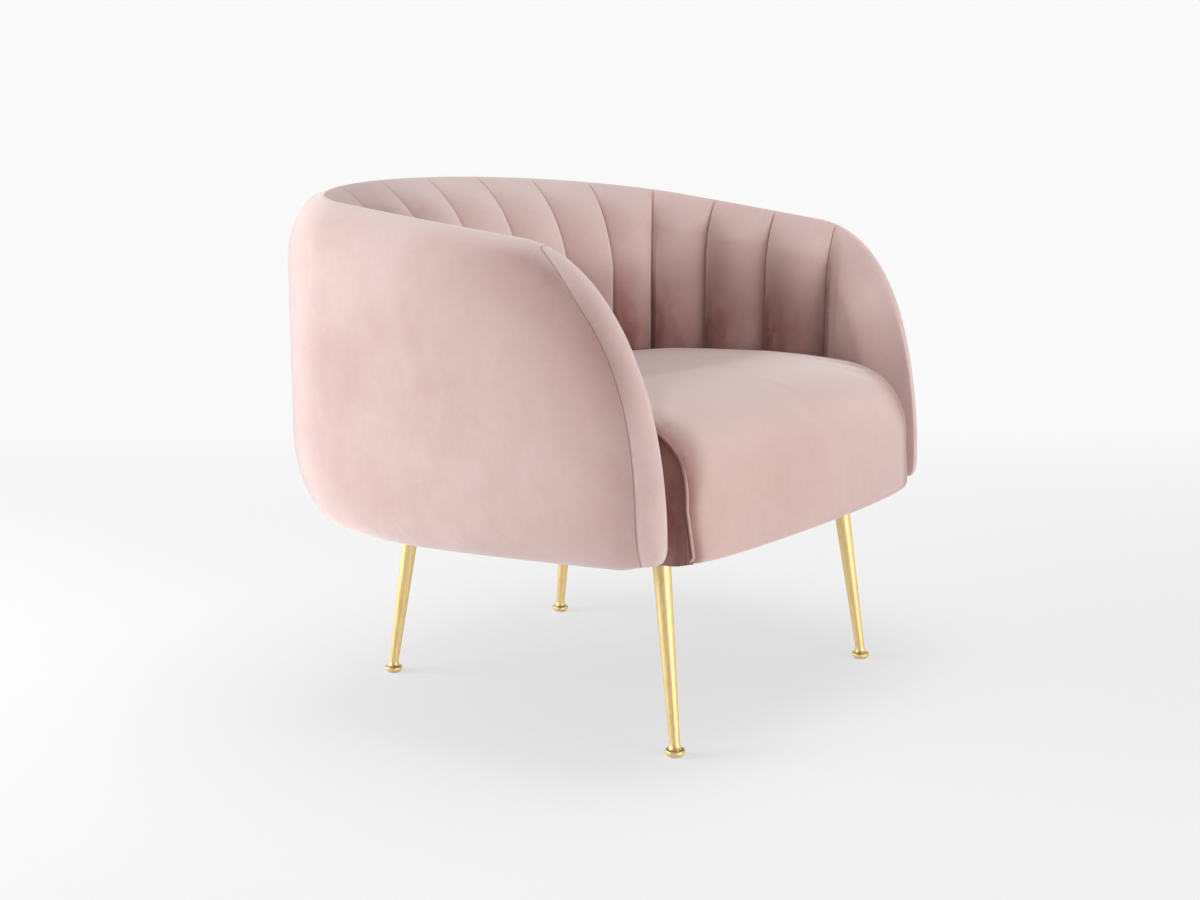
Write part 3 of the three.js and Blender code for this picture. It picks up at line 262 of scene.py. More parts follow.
GROOVE_DEPTH = 0.0026
GROOVE_FADE = 0.006  # drop over which a groove starts


class TubShape:
    """Inside and outside surfaces of the shell over its rim line."""

    def __init__(self, sizes):
        self.sizes = sizes
        self.corner_y = sizes.back_reach - sizes.back_depth
        self.bend_y = sizes.turn_reach - sizes.tip_reach
        self.make_plan()
        self.corner = self.stretch_at(self.corner_y)
        self.tip = self.stretch_at(-sizes.tip_reach)
        self.seam = self.stretch_at(self.bend_y) + sizes.cross_seam
        self.pitch = 2 * self.seam / sizes.channels
        self.make_rim()

    def make_plan(self):
        sizes = self.sizes
        turn = np.linspace(0, QUARTER, PLAN_STEPS)
        part = np.linspace(0, PLAN_END, PLAN_STEPS)[1:]
        arm = self.corner_y + sizes.tip_reach
        x = np.append(
            sizes.half_width * np.sin(turn), sizes.half_width - sizes.tip_closing * part**2
        )
        y = np.append(
            self.corner_y + sizes.back_depth * np.cos(turn), self.corner_y - part * arm
        )
        self.plan_s = np.append(0, np.cumsum(np.hypot(np.diff(x), np.diff(y))))
        self.plan_x, self.plan_y = x, y
        self.plan_nx = -np.gradient(y, self.plan_s)
        self.plan_ny = np.gradient(x, self.plan_s)

    def stretch_at(self, y):
        return np.interp(-np.asarray(y), -self.plan_y, self.plan_s)

    def rim_line(self, y):
        """Height of the rim before the arm's front turn."""
        sizes = self.sizes
        slope = sizes.arm_rise / (self.corner_y - self.bend_y)
        arm = sizes.arm_height + slope * (np.minimum(y, self.corner_y) - self.bend_y)
        back = np.clip((y - self.corner_y) / sizes.back_depth, 0, 1)
        rise = blend(back**2, back, sizes.back_rise)
        return arm + (sizes.back_height - sizes.arm_height - sizes.arm_rise) * rise

    def make_rim(self):
        """The rim as stretches and heights: round the back, down the front, round the toe."""
        sizes = self.sizes
        s = np.linspace(0, self.stretch_at(self.bend_y), RIM_STEPS)
        z = self.rim_line(np.interp(s, self.plan_s, self.plan_y))
        foot = sizes.underside + sizes.toe_height
        power = 2 / sizes.turn_roundness
        angle = np.linspace(0, QUARTER, RIM_STEPS)[1:]
        y = self.bend_y - sizes.turn_reach * np.sin(angle) ** power
        s = np.append(s, self.stretch_at(y))
        fall = np.clip(np.cos(angle), 0, 1) ** power
        z = np.append(z, foot + (self.rim_line(y) - foot) * fall)
        self.turn_end = len(s) - 1
        turn = sizes.toe_turn * QUARTER
        angle = np.linspace(0, turn, TOE_STEPS)[1:]
        toe = sizes.toe_reach * (1 - np.cos(angle)) / (1 - math.cos(turn))
        s = np.append(s, s[-1] - toe)
        z = np.append(z, foot - sizes.toe_height * np.sin(angle) / math.sin(turn))
        self.rim_s, self.rim_z = s, z
        self.rim_run = np.append(0, np.cumsum(np.hypot(np.diff(s), np.diff(z))))
        self.seam_run = np.interp(self.seam, s[:self.turn_end], self.rim_run[:self.turn_end])
        self.front_run = self.rim_run[self.turn_end]
        self.end_run = self.rim_run[-1]

    def rim_at(self, run, drop=0.0):
        """Stretch and height on the rim at a run, moved in from the edge by a drop."""
        inward_s = np.gradient(self.rim_z, self.rim_run)
        inward_z = -np.gradient(self.rim_s, self.rim_run)
        s = np.interp(run, self.rim_run, self.rim_s)
        z = np.interp(run, self.rim_run, self.rim_z)
        s = s + np.interp(run, self.rim_run, inward_s) * drop
        return s, z + np.interp(run, self.rim_run, inward_z) * drop

    def rim_height(self, s):
        return np.interp(np.abs(s), self.rim_s[:self.turn_end], self.rim_z[:self.turn_end])

    def drop_below_rim(self, s, z):
        """Shortest way from a place on the wall to the rim line."""
        return way_to_line(self.rim_s, self.rim_z, np.abs(s), z)

    def arm_share(self, change, s):
        """How far a back size has changed into its arm size."""
        return smooth(self.corner + change[0], self.corner + change[1], np.abs(s))

    def outer_offset(self, s, z):
        sizes = self.sizes
        arm = self.arm_share(SWELL_CHANGE, s)
        tuck_arm = self.arm_share(TUCK_CHANGE, s)
        drop = self.drop_below_rim(s, z)
        swell_drop = blend(sizes.back_swell_drop, sizes.arm_swell_drop, arm)
        fullness = blend(2, ARM_FULLNESS, arm * smooth(*FULLNESS_HEIGHTS, z))
        swell = blend(sizes.back_swell, sizes.arm_swell, arm)
        swell = swell * rounded_rise(drop / swell_drop, fullness)
        height = blend(sizes.back_tuck_height, sizes.arm_tuck_height, tuck_arm)
        low = np.clip((sizes.underside + height - z) / height, 0, 1)
        tuck = blend(sizes.back_tuck, sizes.arm_tuck, tuck_arm) * smooth(0, TUCK_FADE_DROP, drop)
        return swell - tuck * (1 - np.sqrt(1 - low**2))

    def seam_offset(self, s, z, drop=None):
        """Seams between the channels, measured inward from the rim line."""
        sizes = self.sizes
        arm = self.arm_share(PADDING_CHANGE, s)
        drop = self.drop_below_rim(s, z) if drop is None else drop
        reach = blend(sizes.back_padding_drop, sizes.arm_padding_drop, arm)
        padding = blend(sizes.back_padding, sizes.arm_padding, arm)
        return padding * rounded_rise(drop / reach, PADDING_ROUNDNESS)

    def seam_phase(self, s):
        """0 in the middle of a channel and 1 on its seams."""
        return np.abs((np.abs(s) / self.pitch + 0.5) % 1 - 0.5) * 2

    def channel_rise(self, s):
        phase = self.seam_phase(s)
        return blend(1 - phase**CHANNEL_ROUNDNESS, 1 - phase**CREASE_ROUNDNESS, CREASE_PART)

    def inner_offset(self, s, z):
        """Channel faces, and the arm facing beyond the cross seam."""
        sizes = self.sizes
        drop = self.drop_below_rim(s, z)
        fill = smooth(self.seam, self.seam + self.pitch * PANEL_FILL, np.abs(s))
        channel = np.abs(s) <= self.seam
        rise = np.where(channel, self.channel_rise(s), fill)
        fade = smooth(CHANNEL_START, sizes.channel_fade, drop)
        seam_way = (1 - self.seam_phase(s)) * self.pitch / 2
        groove = GROOVE_DEPTH * np.exp(-((seam_way / GROOVE_WIDTH) ** 2))
        groove = groove * channel * smooth(0, GROOVE_FADE, drop)
        return self.seam_offset(s, z, drop) + sizes.channel_bulge * fade * rise - groove

    def wall(self, s, z, offset):
        """Points on the wall at an outward offset from the rim's plan."""
        side = np.where(s < 0, -1.0, 1.0)
        reach = np.abs(s)
        low = smooth(self.sizes.underside + TIP_LIFT_HEIGHT, self.sizes.underside, z)
        z = z + self.sizes.tip_lift * low * smooth(self.tip - TIP_LIFT_REACH, self.tip, reach)
        nx = np.interp(reach, self.plan_s, self.plan_nx)
        ny = np.interp(reach, self.plan_s, self.plan_ny)
        x = np.interp(reach, self.plan_s, self.plan_x) + nx * offset
        y = np.interp(reach, self.plan_s, self.plan_y) + ny * offset
        return np.stack([side * x, y, z + 0 * x], -1)

    def outside(self, s, z):
        return self.wall(s, z, self.outer_offset(s, z))

    def inside(self, s, z):
        return self.wall(s, z, -self.inner_offset(s, z))


def grid_normals(grid):
    """Unit normals of a grid of points, along the columns crossed with down the rows."""
    down = np.gradient(grid, axis=0)
    along = np.gradient(grid, axis=1)
    normal = np.cross(along, down)
    size = np.linalg.norm(normal, axis=-1, keepdims=True)
    return normal / np.maximum(size, 1e-12)


def mirrored(grid):
    return grid[:, ::-1] * np.array([-1.0, 1.0, 1.0])


WELD_REACH = 2e-5
SMALLEST_EDGE = 1e-6


def mesh_object(name, grids, values=None):
    """One smooth mesh from grids of points, their shared edges welded.

    values holds the painted shade of each point of each grid, kept as a point attribute.
    """
    mesh = bpy.data.meshes.new(name)
    points, faces, start = [], [], 0
    for grid in grids:
        rows, columns = grid.shape[:2]
        points.append(grid.reshape(-1, 3))
        at = np.arange(rows * columns).reshape(rows, columns) + start
        quads = np.stack([at[:-1, :-1], at[:-1, 1:], at[1:, 1:], at[1:, :-1]], -1)
        faces.append(quads.reshape(-1, 4))
        start += rows * columns
    mesh.from_pydata(np.concatenate(points).tolist(), [], np.concatenate(faces).tolist())
    painted_shade = mesh.attributes.new("painted_shade", "FLOAT", "POINT")
    if values is not None:
        flat = np.concatenate([value.ravel() for value in values])
        painted_shade.data.foreach_set("value", flat.astype(np.float32))
    work = bmesh.new()
    work.from_mesh(mesh)
    bmesh.ops.remove_doubles(work, verts=work.verts, dist=WELD_REACH)
    bmesh.ops.dissolve_degenerate(work, edges=work.edges, dist=SMALLEST_EDGE)
    bmesh.ops.recalc_face_normals(work, faces=work.faces)
    for face in work.faces:
        face.smooth = True
    work.to_mesh(mesh)
    work.free()
    piece = bpy.data.objects.new(name, mesh)
    bpy.context.scene.collection.objects.link(piece)
    return piece


def stand_for(piece, nodes, material):
    """Puts a finished piece in the place of its CAD nodes."""
    piece.data.materials.append(material)
    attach(piece, "root")
    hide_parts(*nodes)


def node(tree, kind, inputs=None, **settings):
    """Adds a shader node; an input is set to a number or colour, or linked from a socket."""
    made = tree.nodes.new(kind)
    for name, value in settings.items():
        setattr(made, name, value)
    for key, value in (inputs or {}).items():
        if isinstance(value, bpy.types.NodeSocket):
            tree.links.new(value, made.inputs[key])
        else:
            made.inputs[key].default_value = value
    return made


def with_alpha(colour_value):
    """A colour as a shader input takes it; a socket stays as it is."""
    if isinstance(colour_value, bpy.types.NodeSocket):
        return colour_value
    return (*colour_value, 1)


def ramp(tree, factor, stops):
    """Grey ramp from a factor; stops are places with their greys."""
    made = node(tree, "ShaderNodeValToRGB", {"Fac": factor})
    for element, (place, grey) in zip(made.color_ramp.elements, stops, strict=True):
        element.position = place
        element.color = (grey, grey, grey, 1)
    return made.outputs["Color"]


def mix(tree, factor, first, second, blend_type="MIX"):
    """Mixes two colours, each given as a colour or a socket."""
    inputs = {0: factor, 6: with_alpha(first), 7: with_alpha(second)}
    return node(
        tree, "ShaderNodeMix", inputs, data_type="RGBA", blend_type=blend_type
    ).outputs[2]


def math_node(tree, operation, first, second):
    made = node(tree, "ShaderNodeMath", {0: first, 1: second}, operation=operation)
    return made.outputs[0]


def new_material(name):
    """An empty node material and its tree."""
    material = bpy.data.materials.new(name)
    material.use_nodes = True
    material.node_tree.nodes.clear()
    return material, material.node_tree


def finished(material, inputs):
    """Joins a shader with these inputs to the material's output."""
    shader = node(material.node_tree, "ShaderNodeBsdfPrincipled", inputs)
    node(material.node_tree, "ShaderNodeOutputMaterial", {"Surface": shader.outputs[0]})
    return material


def object_place(tree):
    return node(tree, "ShaderNodeTexCoord").outputs["Object"]


def noise(tree, size, detail, distortion=0.0, stretch=(1, 1, 1)):
    """Noise whose blotches are about size metres across, times the stretch on each axis."""
    scaled = node(tree, "ShaderNodeMapping", {
        "Vector": object_place(tree), "Scale": [1 / (size * s) for s in stretch],
    })
    return node(tree, "ShaderNodeTexNoise", {
        "Vector": scaled.outputs[0], "Scale": 1.0, "Detail": detail, "Distortion": distortion,
    }).outputs["Fac"]


def bump(tree, height, distance, strength, normal=None):
    inputs = {"Height": height, "Distance": distance, "Strength": strength}
    if normal is not None:
        inputs["Normal"] = normal
    return node(tree, "ShaderNodeBump", inputs).outputs["Normal"]


CLOUD_SIZE = 0.16  # patches of pile lying one way or the other
STROKE_SIZE = 0.034
STROKE_PART = 0.45  # how much strokes and flecks break up the clouds
FLECK_SIZE = 0.009
FLECK_PART = 0.35
BRUSHED_SIZE = 0.012
PILE_SIZE = 0.0013  # the real pile is about 0.4 mm; this is the finest that shows so far away
PILE_RELIEF = (0.0003, 0.25)  # distance and strength
BRUSHED_RELIEF = (0.0008, 0.15)
PAINTED_TOP_LIGHT = "#D3BCB6"
SHEEN_TINT = "#FDF5F2"


def velvet(name, light, deep, painted_shade_colour):
    """Cut-pile velvet: short upright pile, brushed by hand into cloudy patches."""
    material, tree = new_material(name)
    clouds = noise(tree, CLOUD_SIZE, detail=2, distortion=0.5)
    strokes = noise(tree, STROKE_SIZE, detail=4, distortion=1.0, stretch=(1, 1, 1.7))
    flecks = noise(tree, FLECK_SIZE, detail=3, distortion=0.6)
    clouds = mix(tree, STROKE_PART, clouds, mix(tree, FLECK_PART, strokes, flecks))
    tone = ramp(tree, clouds, [(0.3, 0.0), (0.7, 1.0)])
    base = mix(tree, tone, deep, light)
    # painted light: pile on upward faces is painted paler and greyer, as if lit from above
    up = node(tree, "ShaderNodeSeparateXYZ", {
        "Vector": node(tree, "ShaderNodeNewGeometry").outputs["Normal"],
    }).outputs["Z"]
    base = mix(tree, ramp(tree, up, [(0.35, 0.0), (1.0, 0.7)]), base, linear(PAINTED_TOP_LIGHT))
    # painted shade: the shade colour is mixed in wherever shade is painted, a little unevenly
    painted_shade = node(tree, "ShaderNodeAttribute", attribute_name="painted_shade").outputs["Fac"]
    uneven_shade = ramp(tree, strokes, [(0.3, 0.70), (0.7, 1.0)])
    shade = math_node(tree, "MULTIPLY", painted_shade, uneven_shade)
    # fibre ends lit from behind give a pale grazing sheen, cut back where shade is painted so
    # that the painted shade stays deep
    sheen_outside_shade = ramp(tree, shade, [(0.0, 1.0), (0.7, 0.35)])
    pile = bump(tree, noise(tree, PILE_SIZE, detail=2), *PILE_RELIEF)
    brushed = noise(tree, BRUSHED_SIZE, detail=3, distortion=1.0)
    return finished(material, {
        "Base Color": mix(tree, shade, base, painted_shade_colour), "Roughness": 0.9,
        "Specular IOR Level": 0.15, "Sheen Weight": sheen_outside_shade, "Sheen Roughness": 0.5,
        "Sheen Tint": with_alpha(linear(SHEEN_TINT)),
        "Normal": bump(tree, brushed, *BRUSHED_RELIEF, pile),
    })


def brushed_brass(name, light, shade):
    """Brass tube polished on a belt along its length, then lacquered."""
    material, tree = new_material(name)
    # belt lines run up the leg: far longer along the leg than across
    lines = noise(tree, 0.0011, detail=3, stretch=(1, 1, 60))
    return finished(material, {
        "Base Color": mix(tree, ramp(tree, lines, [(0.35, 0.0), (0.7, 1.0)]), shade, light),
        "Roughness": ramp(tree, lines, [(0.3, 0.46), (0.75, 0.56)]), "Metallic": 1.0,
        "Normal": bump(tree, lines, 0.00004, 0.3),
    })


def plain_finish(name, light, dark, size, stretch, roughness, depth, metallic):
    """A finish of two tones in streaks or blotches with a matching relief."""
    material, tree = new_material(name)
    streaks = noise(tree, size, detail=4, distortion=0.3, stretch=stretch)
    tone = ramp(tree, streaks, [(0.3, 0.0), (0.7, 1.0)])
    return finished(material, {
        "Base Color": mix(tree, tone, linear(dark), linear(light)), "Roughness": roughness,
        "Metallic": metallic, "Normal": bump(tree, streaks, depth, 0.6),
    })


WAVE_PITCH = 3.18  # a wave texture at scale 1 repeats this often in a metre


def woven_finish(name, light, dark, pitch, roughness):
    """Cloth or webbing woven from two sets of threads at this pitch."""
    material, tree = new_material(name)
    place = object_place(tree)
    scale = 1 / (pitch * WAVE_PITCH)
    threads = [
        node(
            tree, "ShaderNodeTexWave", {"Vector": place, "Scale": scale, "Distortion": 0.4},
            bands_direction=direction,
        ).outputs["Fac"]
        for direction in ("X", "Y")
    ]
    weave = mix(tree, 1.0, *threads, "MULTIPLY")
    return finished(material, {
        "Base Color": mix(tree, weave, linear(dark), linear(light)), "Roughness": roughness,
        "Normal": bump(tree, weave, pitch * 0.3, 0.6),
    })


COVER_TOP_WAYS = (0, 0.15, 0.45, 0.9, 1.5, 2.4, 5.0)  # millimetres from the facing seam
TOP_WAYS_SHARE = 0.04  # of the cover's height, the most that these take
TUCK_SHARE = 0.55  # of the cover's height, the most that is drawn in
TOP_ROWS = 30
TUCK_ROWS = 22
CREST_ROWS = 12
LINING_ROWS = 84
FACING_COLUMNS = 96
FACING_EVEN = 0.35  # how evenly the facing's columns are spread
CHANNEL_COLUMNS = 30
HIDDEN_PARTS = (0.35, 0.7, 1.0)  # rows of a return that is out of sight
SEAM_DEPTHS = (0.002, 0.006)  # rows of the hidden strip behind a rolled edge
SEAM_HALF_GAP = 0.0001
SEAM_SPREAD = 0.0004  # columns closer than this to the last one are left out
LIP_REACH = 0.016
ARM_LIP_REACH = 0.005
CROSS_SEAM_RADIUS = 0.0007  # padding rolls into a seam with this radius
FACING_SEAM_RADIUS = 0.0009
FACING_SEAM_START = 0.1  # of the seam's drop, where it leaves the cross seam
FACING_SEAM_SINK = 0.110  # run over which it then sinks to its full drop
FACING_SEAM_WIDEN = 0.009  # the facing is this much wider at the arm's foot
FACING_COVER_START = 0.004  # stretch over which the cover starts to roll into that seam

# Painted shades: how much of the shade colour is mixed into the pile
FACING_SEAM_SHADE = 0.3
CROSS_SEAM_SHADE = 0.2
SEAM_SHADE = 0.6
SEAM_SHADE_WIDTH = 0.0014
SEAM_SHADE_FADE = 0.010
LINING_SIDE_SHADE = 0.36  # the left arm's inside is turned away from the light
LINING_SIDE_REACH = -0.30
LINING_SHADE = 0.88  # painted shade down beside the seat, deep in the bowl
LINING_SHADE_FLANKS = (0.62, 1.25)
LINING_SHADE_HEIGHTS = (0.625, 0.460)
CHANNEL_SHADE = 0.25  # painted shade on one flank of each channel, as if lit from the other side
CHANNEL_SHADE_DROPS = (0.004, 0.045)
COVER_SHADE = 0.58  # painted shade on the cover beside the facing, where it turns away from the light
COVER_SHADE_LOW = 0.55
COVER_SHADE_REACH = 0.068
COVER_SHADE_HEIGHTS = (0.40, 0.56)


def painted_seam_shade(way, width):
    """Painted shade of 1 on a seam, fading over this width."""
    return np.exp(-((way / width) ** 2))


def channel_columns(tub):
    """Stretches of the lining's columns, closest together at the seams."""
    places = packed_ends(CHANNEL_COLUMNS, 1.7) * tub.pitch / 2
    middles = (np.arange(tub.sizes.channels) - (tub.sizes.channels - 1) / 2) * tub.pitch
    columns = np.unique(np.round(np.concatenate([middle + places for middle in middles]), 7))
    columns[0] += SEAM_HALF_GAP
    columns[-1] -= SEAM_HALF_GAP
    return columns


def cover_heights(tub, s, top):
    """Heights of the outside's rows from the facing seam's level to the underside."""
    sizes = tub.sizes
    tuck = blend(sizes.back_tuck_height, sizes.arm_tuck_height, tub.arm_share(TUCK_CHANGE, s))
    full = top - sizes.underside
    low = np.minimum(tuck, TUCK_SHARE * full)
    ways = np.array(COVER_TOP_WAYS)[:, None] * MILLIMETRE
    ways = np.minimum(ways, TOP_WAYS_SHARE * full)
    upper = top - blend(ways[-1], full - low, steps(TOP_ROWS, power=1.25))
    lower = sizes.underside + low * (1 - np.sin(steps(TUCK_ROWS, QUARTER)))
    return np.concatenate([top - ways, upper, lower])


def with_lip(values):
    """Values with their last row repeated for the rows of the cover's return."""
    return np.concatenate([values, np.repeat(values[-1:], len(HIDDEN_PARTS), 0)])


def lining_shade(tub, s, z, drop):
    """Painted shade on the lining: down beside the seat and along one flank."""
    across = (1 - (s / tub.pitch + 0.5) % 1) ** 1.4
    low = smooth(*LINING_SHADE_HEIGHTS, z)
    side = LINING_SIDE_SHADE * smooth(0, LINING_SIDE_REACH, s)
    flank = CHANNEL_SHADE * across * smooth(*CHANNEL_SHADE_DROPS, drop)
    return blend(flank + side, LINING_SHADE * blend(*LINING_SHADE_FLANKS, across), low)


def lip_rows(tub, s):
    """The cover's return under the shell."""
    under = tub.sizes.underside
    reach = blend(LIP_REACH, ARM_LIP_REACH, tub.arm_share(SWELL_CHANGE, s))
    offset = tub.outer_offset(s, np.full_like(s, under))
    return np.stack([tub.wall(s, under, offset - reach * part) for part in HIDDEN_PARTS])


def facing_columns(tub):
    """Runs down the arm's front edge, closest together beside the cross seam."""
    part = np.linspace(0, 1, FACING_COLUMNS)
    part = FACING_EVEN * part + (1 - FACING_EVEN) * part**1.6
    return blend(tub.seam_run + SEAM_HALF_GAP, tub.front_run, part)


def seam_line(tub, run):
    """Stretch and height of the facing seam, which sinks from the crest at the cross seam."""
    s, z = tub.rim_at(run)
    share_in = 1 - (1 - np.clip((run - tub.seam_run) / FACING_SEAM_SINK, 0, 1)) ** 2
    drop = tub.sizes.outer_seam_drop * blend(FACING_SEAM_START, 1, share_in)
    drop = drop + FACING_SEAM_WIDEN * smooth(tub.seam_run + FACING_SEAM_SINK, tub.front_run, run)
    in_s, in_z = tub.rim_at(run, drop)
    return s + (in_s - s) * share_in, blend(z - drop, in_z, share_in)


def make_shell(tub, material):
    """Outside cover and channelled lining in one skin over the rim."""
    columns = channel_columns(tub)
    rim_z = tub.rim_height(columns)
    seam_drop = tub.sizes.outer_seam_drop
    heights = cover_heights(tub, columns, rim_z - seam_drop)
    outside = np.concatenate([tub.outside(columns, heights), lip_rows(tub, columns)])
    crest_z = rim_z - seam_drop * np.linspace(1, 0, CREST_ROWS + 1)[:, None] ** 1.5
    lining_z = blend(rim_z, lowest("channel_01").z, steps(LINING_ROWS, power=1.7))
    upper = np.concatenate([tub.outside(columns, crest_z), tub.inside(columns, lining_z)])
    way = np.minimum(columns - columns[0], columns[-1] - columns)[None, :]
    level = np.concatenate([crest_z, lining_z])
    on_crest = smooth(1.3, 0.7, (rim_z - level) / (seam_drop * FACING_SEAM_START))
    on_crest[CREST_ROWS + 1:] = 1
    normals = -grid_normals(upper)
    upper = upper - normals * (rolled_depth(way, CROSS_SEAM_RADIUS) * on_crest)[..., None]
    first, last = (
        behind(upper[2:, edge], normals[2:, edge], (0, *SEAM_DEPTHS), 1) for edge in (0, -1)
    )
    # the hidden strips behind the rolled seams are painted in full shade
    hidden = np.ones(first.shape[:2])
    drop = tub.drop_below_rim(columns + 0 * lining_z, lining_z)
    seam_way = (1 - tub.seam_phase(columns)) * tub.pitch / 2
    crest_seam_shade = painted_seam_shade(way + 0 * crest_z, CROSS_SEAM_RADIUS)
    lining_seam_shade = painted_seam_shade(seam_way + 0 * lining_z, SEAM_SHADE_WIDTH)
    # painted shade over the crest, in the channel seams and on the lining
    upper_values = np.concatenate([
        np.maximum(
            CROSS_SEAM_SHADE * crest_seam_shade * on_crest[:CREST_ROWS + 1],
            cover_shade(tub, columns, crest_z),
        ),
        np.maximum(
            SEAM_SHADE * lining_seam_shade * smooth(0, SEAM_SHADE_FADE, drop),
            lining_shade(tub, columns, lining_z, drop),
        ),
    ])
    front, front_value = facing_cover(tub, columns[-1])
    piece = mesh_object(
        "shell_velvet",
        [outside, upper, first[:, ::-1], last, front, mirrored(front)],
        [
            with_lip(cover_shade(tub, columns, heights)), upper_values, hidden, hidden,
            front_value, front_value[:, ::-1],
        ],
    )
    channels = [f"channel_{number:02d}" for number in range(1, tub.sizes.channels + 1)]
    stand_for(piece, ["outer_cover", "rim_roll", *channels], material)


def facing_seam(tub):
    """The facing's seam as a line on the wall, down to the underside."""
    s, z = seam_line(tub, facing_columns(tub))
    return np.append(s, s[-1]), np.append(z, tub.sizes.underside)


def cover_shade(tub, s, z):
    """Painted shade on the cover, from the facing's seam backwards."""
    ways = way_to_line(*facing_seam(tub), np.abs(s), z)
    high = smooth(*COVER_SHADE_HEIGHTS, z)
    below = smooth(0, tub.sizes.outer_seam_drop, tub.drop_below_rim(np.abs(s) + 0 * z, z))
    reach = np.exp(-ways / COVER_SHADE_REACH)
    return COVER_SHADE * reach * blend(COVER_SHADE_LOW, 1, high) * below


NORMAL_STEP = 0.0005


def outside_normals(tub, s, z):
    """Outward normals of the outside, worked out from the surface itself."""
    along = tub.outside(s + NORMAL_STEP, z) - tub.outside(s - NORMAL_STEP, z)
    up = tub.outside(s, z + NORMAL_STEP) - tub.outside(s, z - NORMAL_STEP)
    normal = np.cross(up, along)
    return normal / np.linalg.norm(normal, axis=-1, keepdims=True)


def facing_cover(tub, start):
    """Outside cover under the arm facing's seam, its top edge rolled into the seam."""
    s, top = seam_line(tub, facing_columns(tub))
    apart = s < s[-1] - SEAM_SPREAD
    apart[-1] = True
    s, top = s[apart], top[apart]
    s[0], top[0] = start, tub.rim_height(start) - tub.sizes.outer_seam_drop * FACING_SEAM_START
    heights = cover_heights(tub, s, top)
    grid = np.concatenate([tub.outside(s, heights), lip_rows(tub, s)])
    normals = with_lip(outside_normals(tub, s + 0 * heights, heights))
    ways = with_lip(way_to_line(*facing_seam(tub), s, heights))
    shown = smooth(start, start + FACING_COVER_START, s)
    grid = grid - normals * (rolled_depth(ways, FACING_SEAM_RADIUS) * shown)[..., None]
    strip = [grid[0] - normals[0] * d * shown[:, None] for d in SEAM_DEPTHS[::-1]]
    # painted shade in the facing's seam and on the cover behind it
    value = FACING_SEAM_SHADE * painted_seam_shade(ways, FACING_SEAM_RADIUS) * shown
    value = np.maximum(value, with_lip(cover_shade(tub, s, heights)))
    # the hidden strip is painted in full shade where it shows
    hidden = np.ones((len(strip), len(s))) * shown
    return np.concatenate([np.stack(strip), grid]), np.concatenate([hidden, value])


PANEL_RETURN = 0.058  # width of the facing's return inside the arm
PANEL_FOOT = (0.62, 0.76)  # of its length, where its inner edge moves on to the front
PANEL_FALL = 1.3  # that edge falls along the cross seam by this power
PANEL_TOP_GAP = 0.012  # from the rim, and from the lining's foot
PANEL_FOOT_GAP = 0.006
PANEL_OUTER_ROWS = 14
PANEL_INNER_ROWS = 44
TOE_COLUMNS = 14
FACING_LOW_SHADE = 0.36  # painted shade inside the arm, low down beside the seat
FACING_SHADE_HEIGHTS = (0.575, 0.440)
FACING_SIDE_SHADE = 0.50  # painted shade outside the arm, beside the facing's seam
FACING_SIDE_REACH = 0.017
FACING_SIDE_HEIGHTS = (0.40, 0.52)
FACING_SIDE_START = (0.05, 0.25)  # of the facing's length
FACING_FLANK_SHADE = 0.85  # painted shade inside the arm, beside the cross seam
FACING_FLANK_REACH = 0.032
FACING_FLANK_HEIGHTS = (0.660, 0.520)


def panel_place(tub, run, part):
    """Stretch and height outside the facing, at a part of the way from rim to seam."""
    seam_s, seam_z = seam_line(tub, np.minimum(run, tub.front_run))
    edge_s, edge_z = tub.rim_at(run)
    toe = np.clip((run - tub.front_run) / (tub.end_run - tub.front_run), 0, 1)
    seam_z = blend(seam_z, tub.sizes.underside, toe)
    return blend(edge_s, seam_s, part), blend(edge_z, seam_z, part)


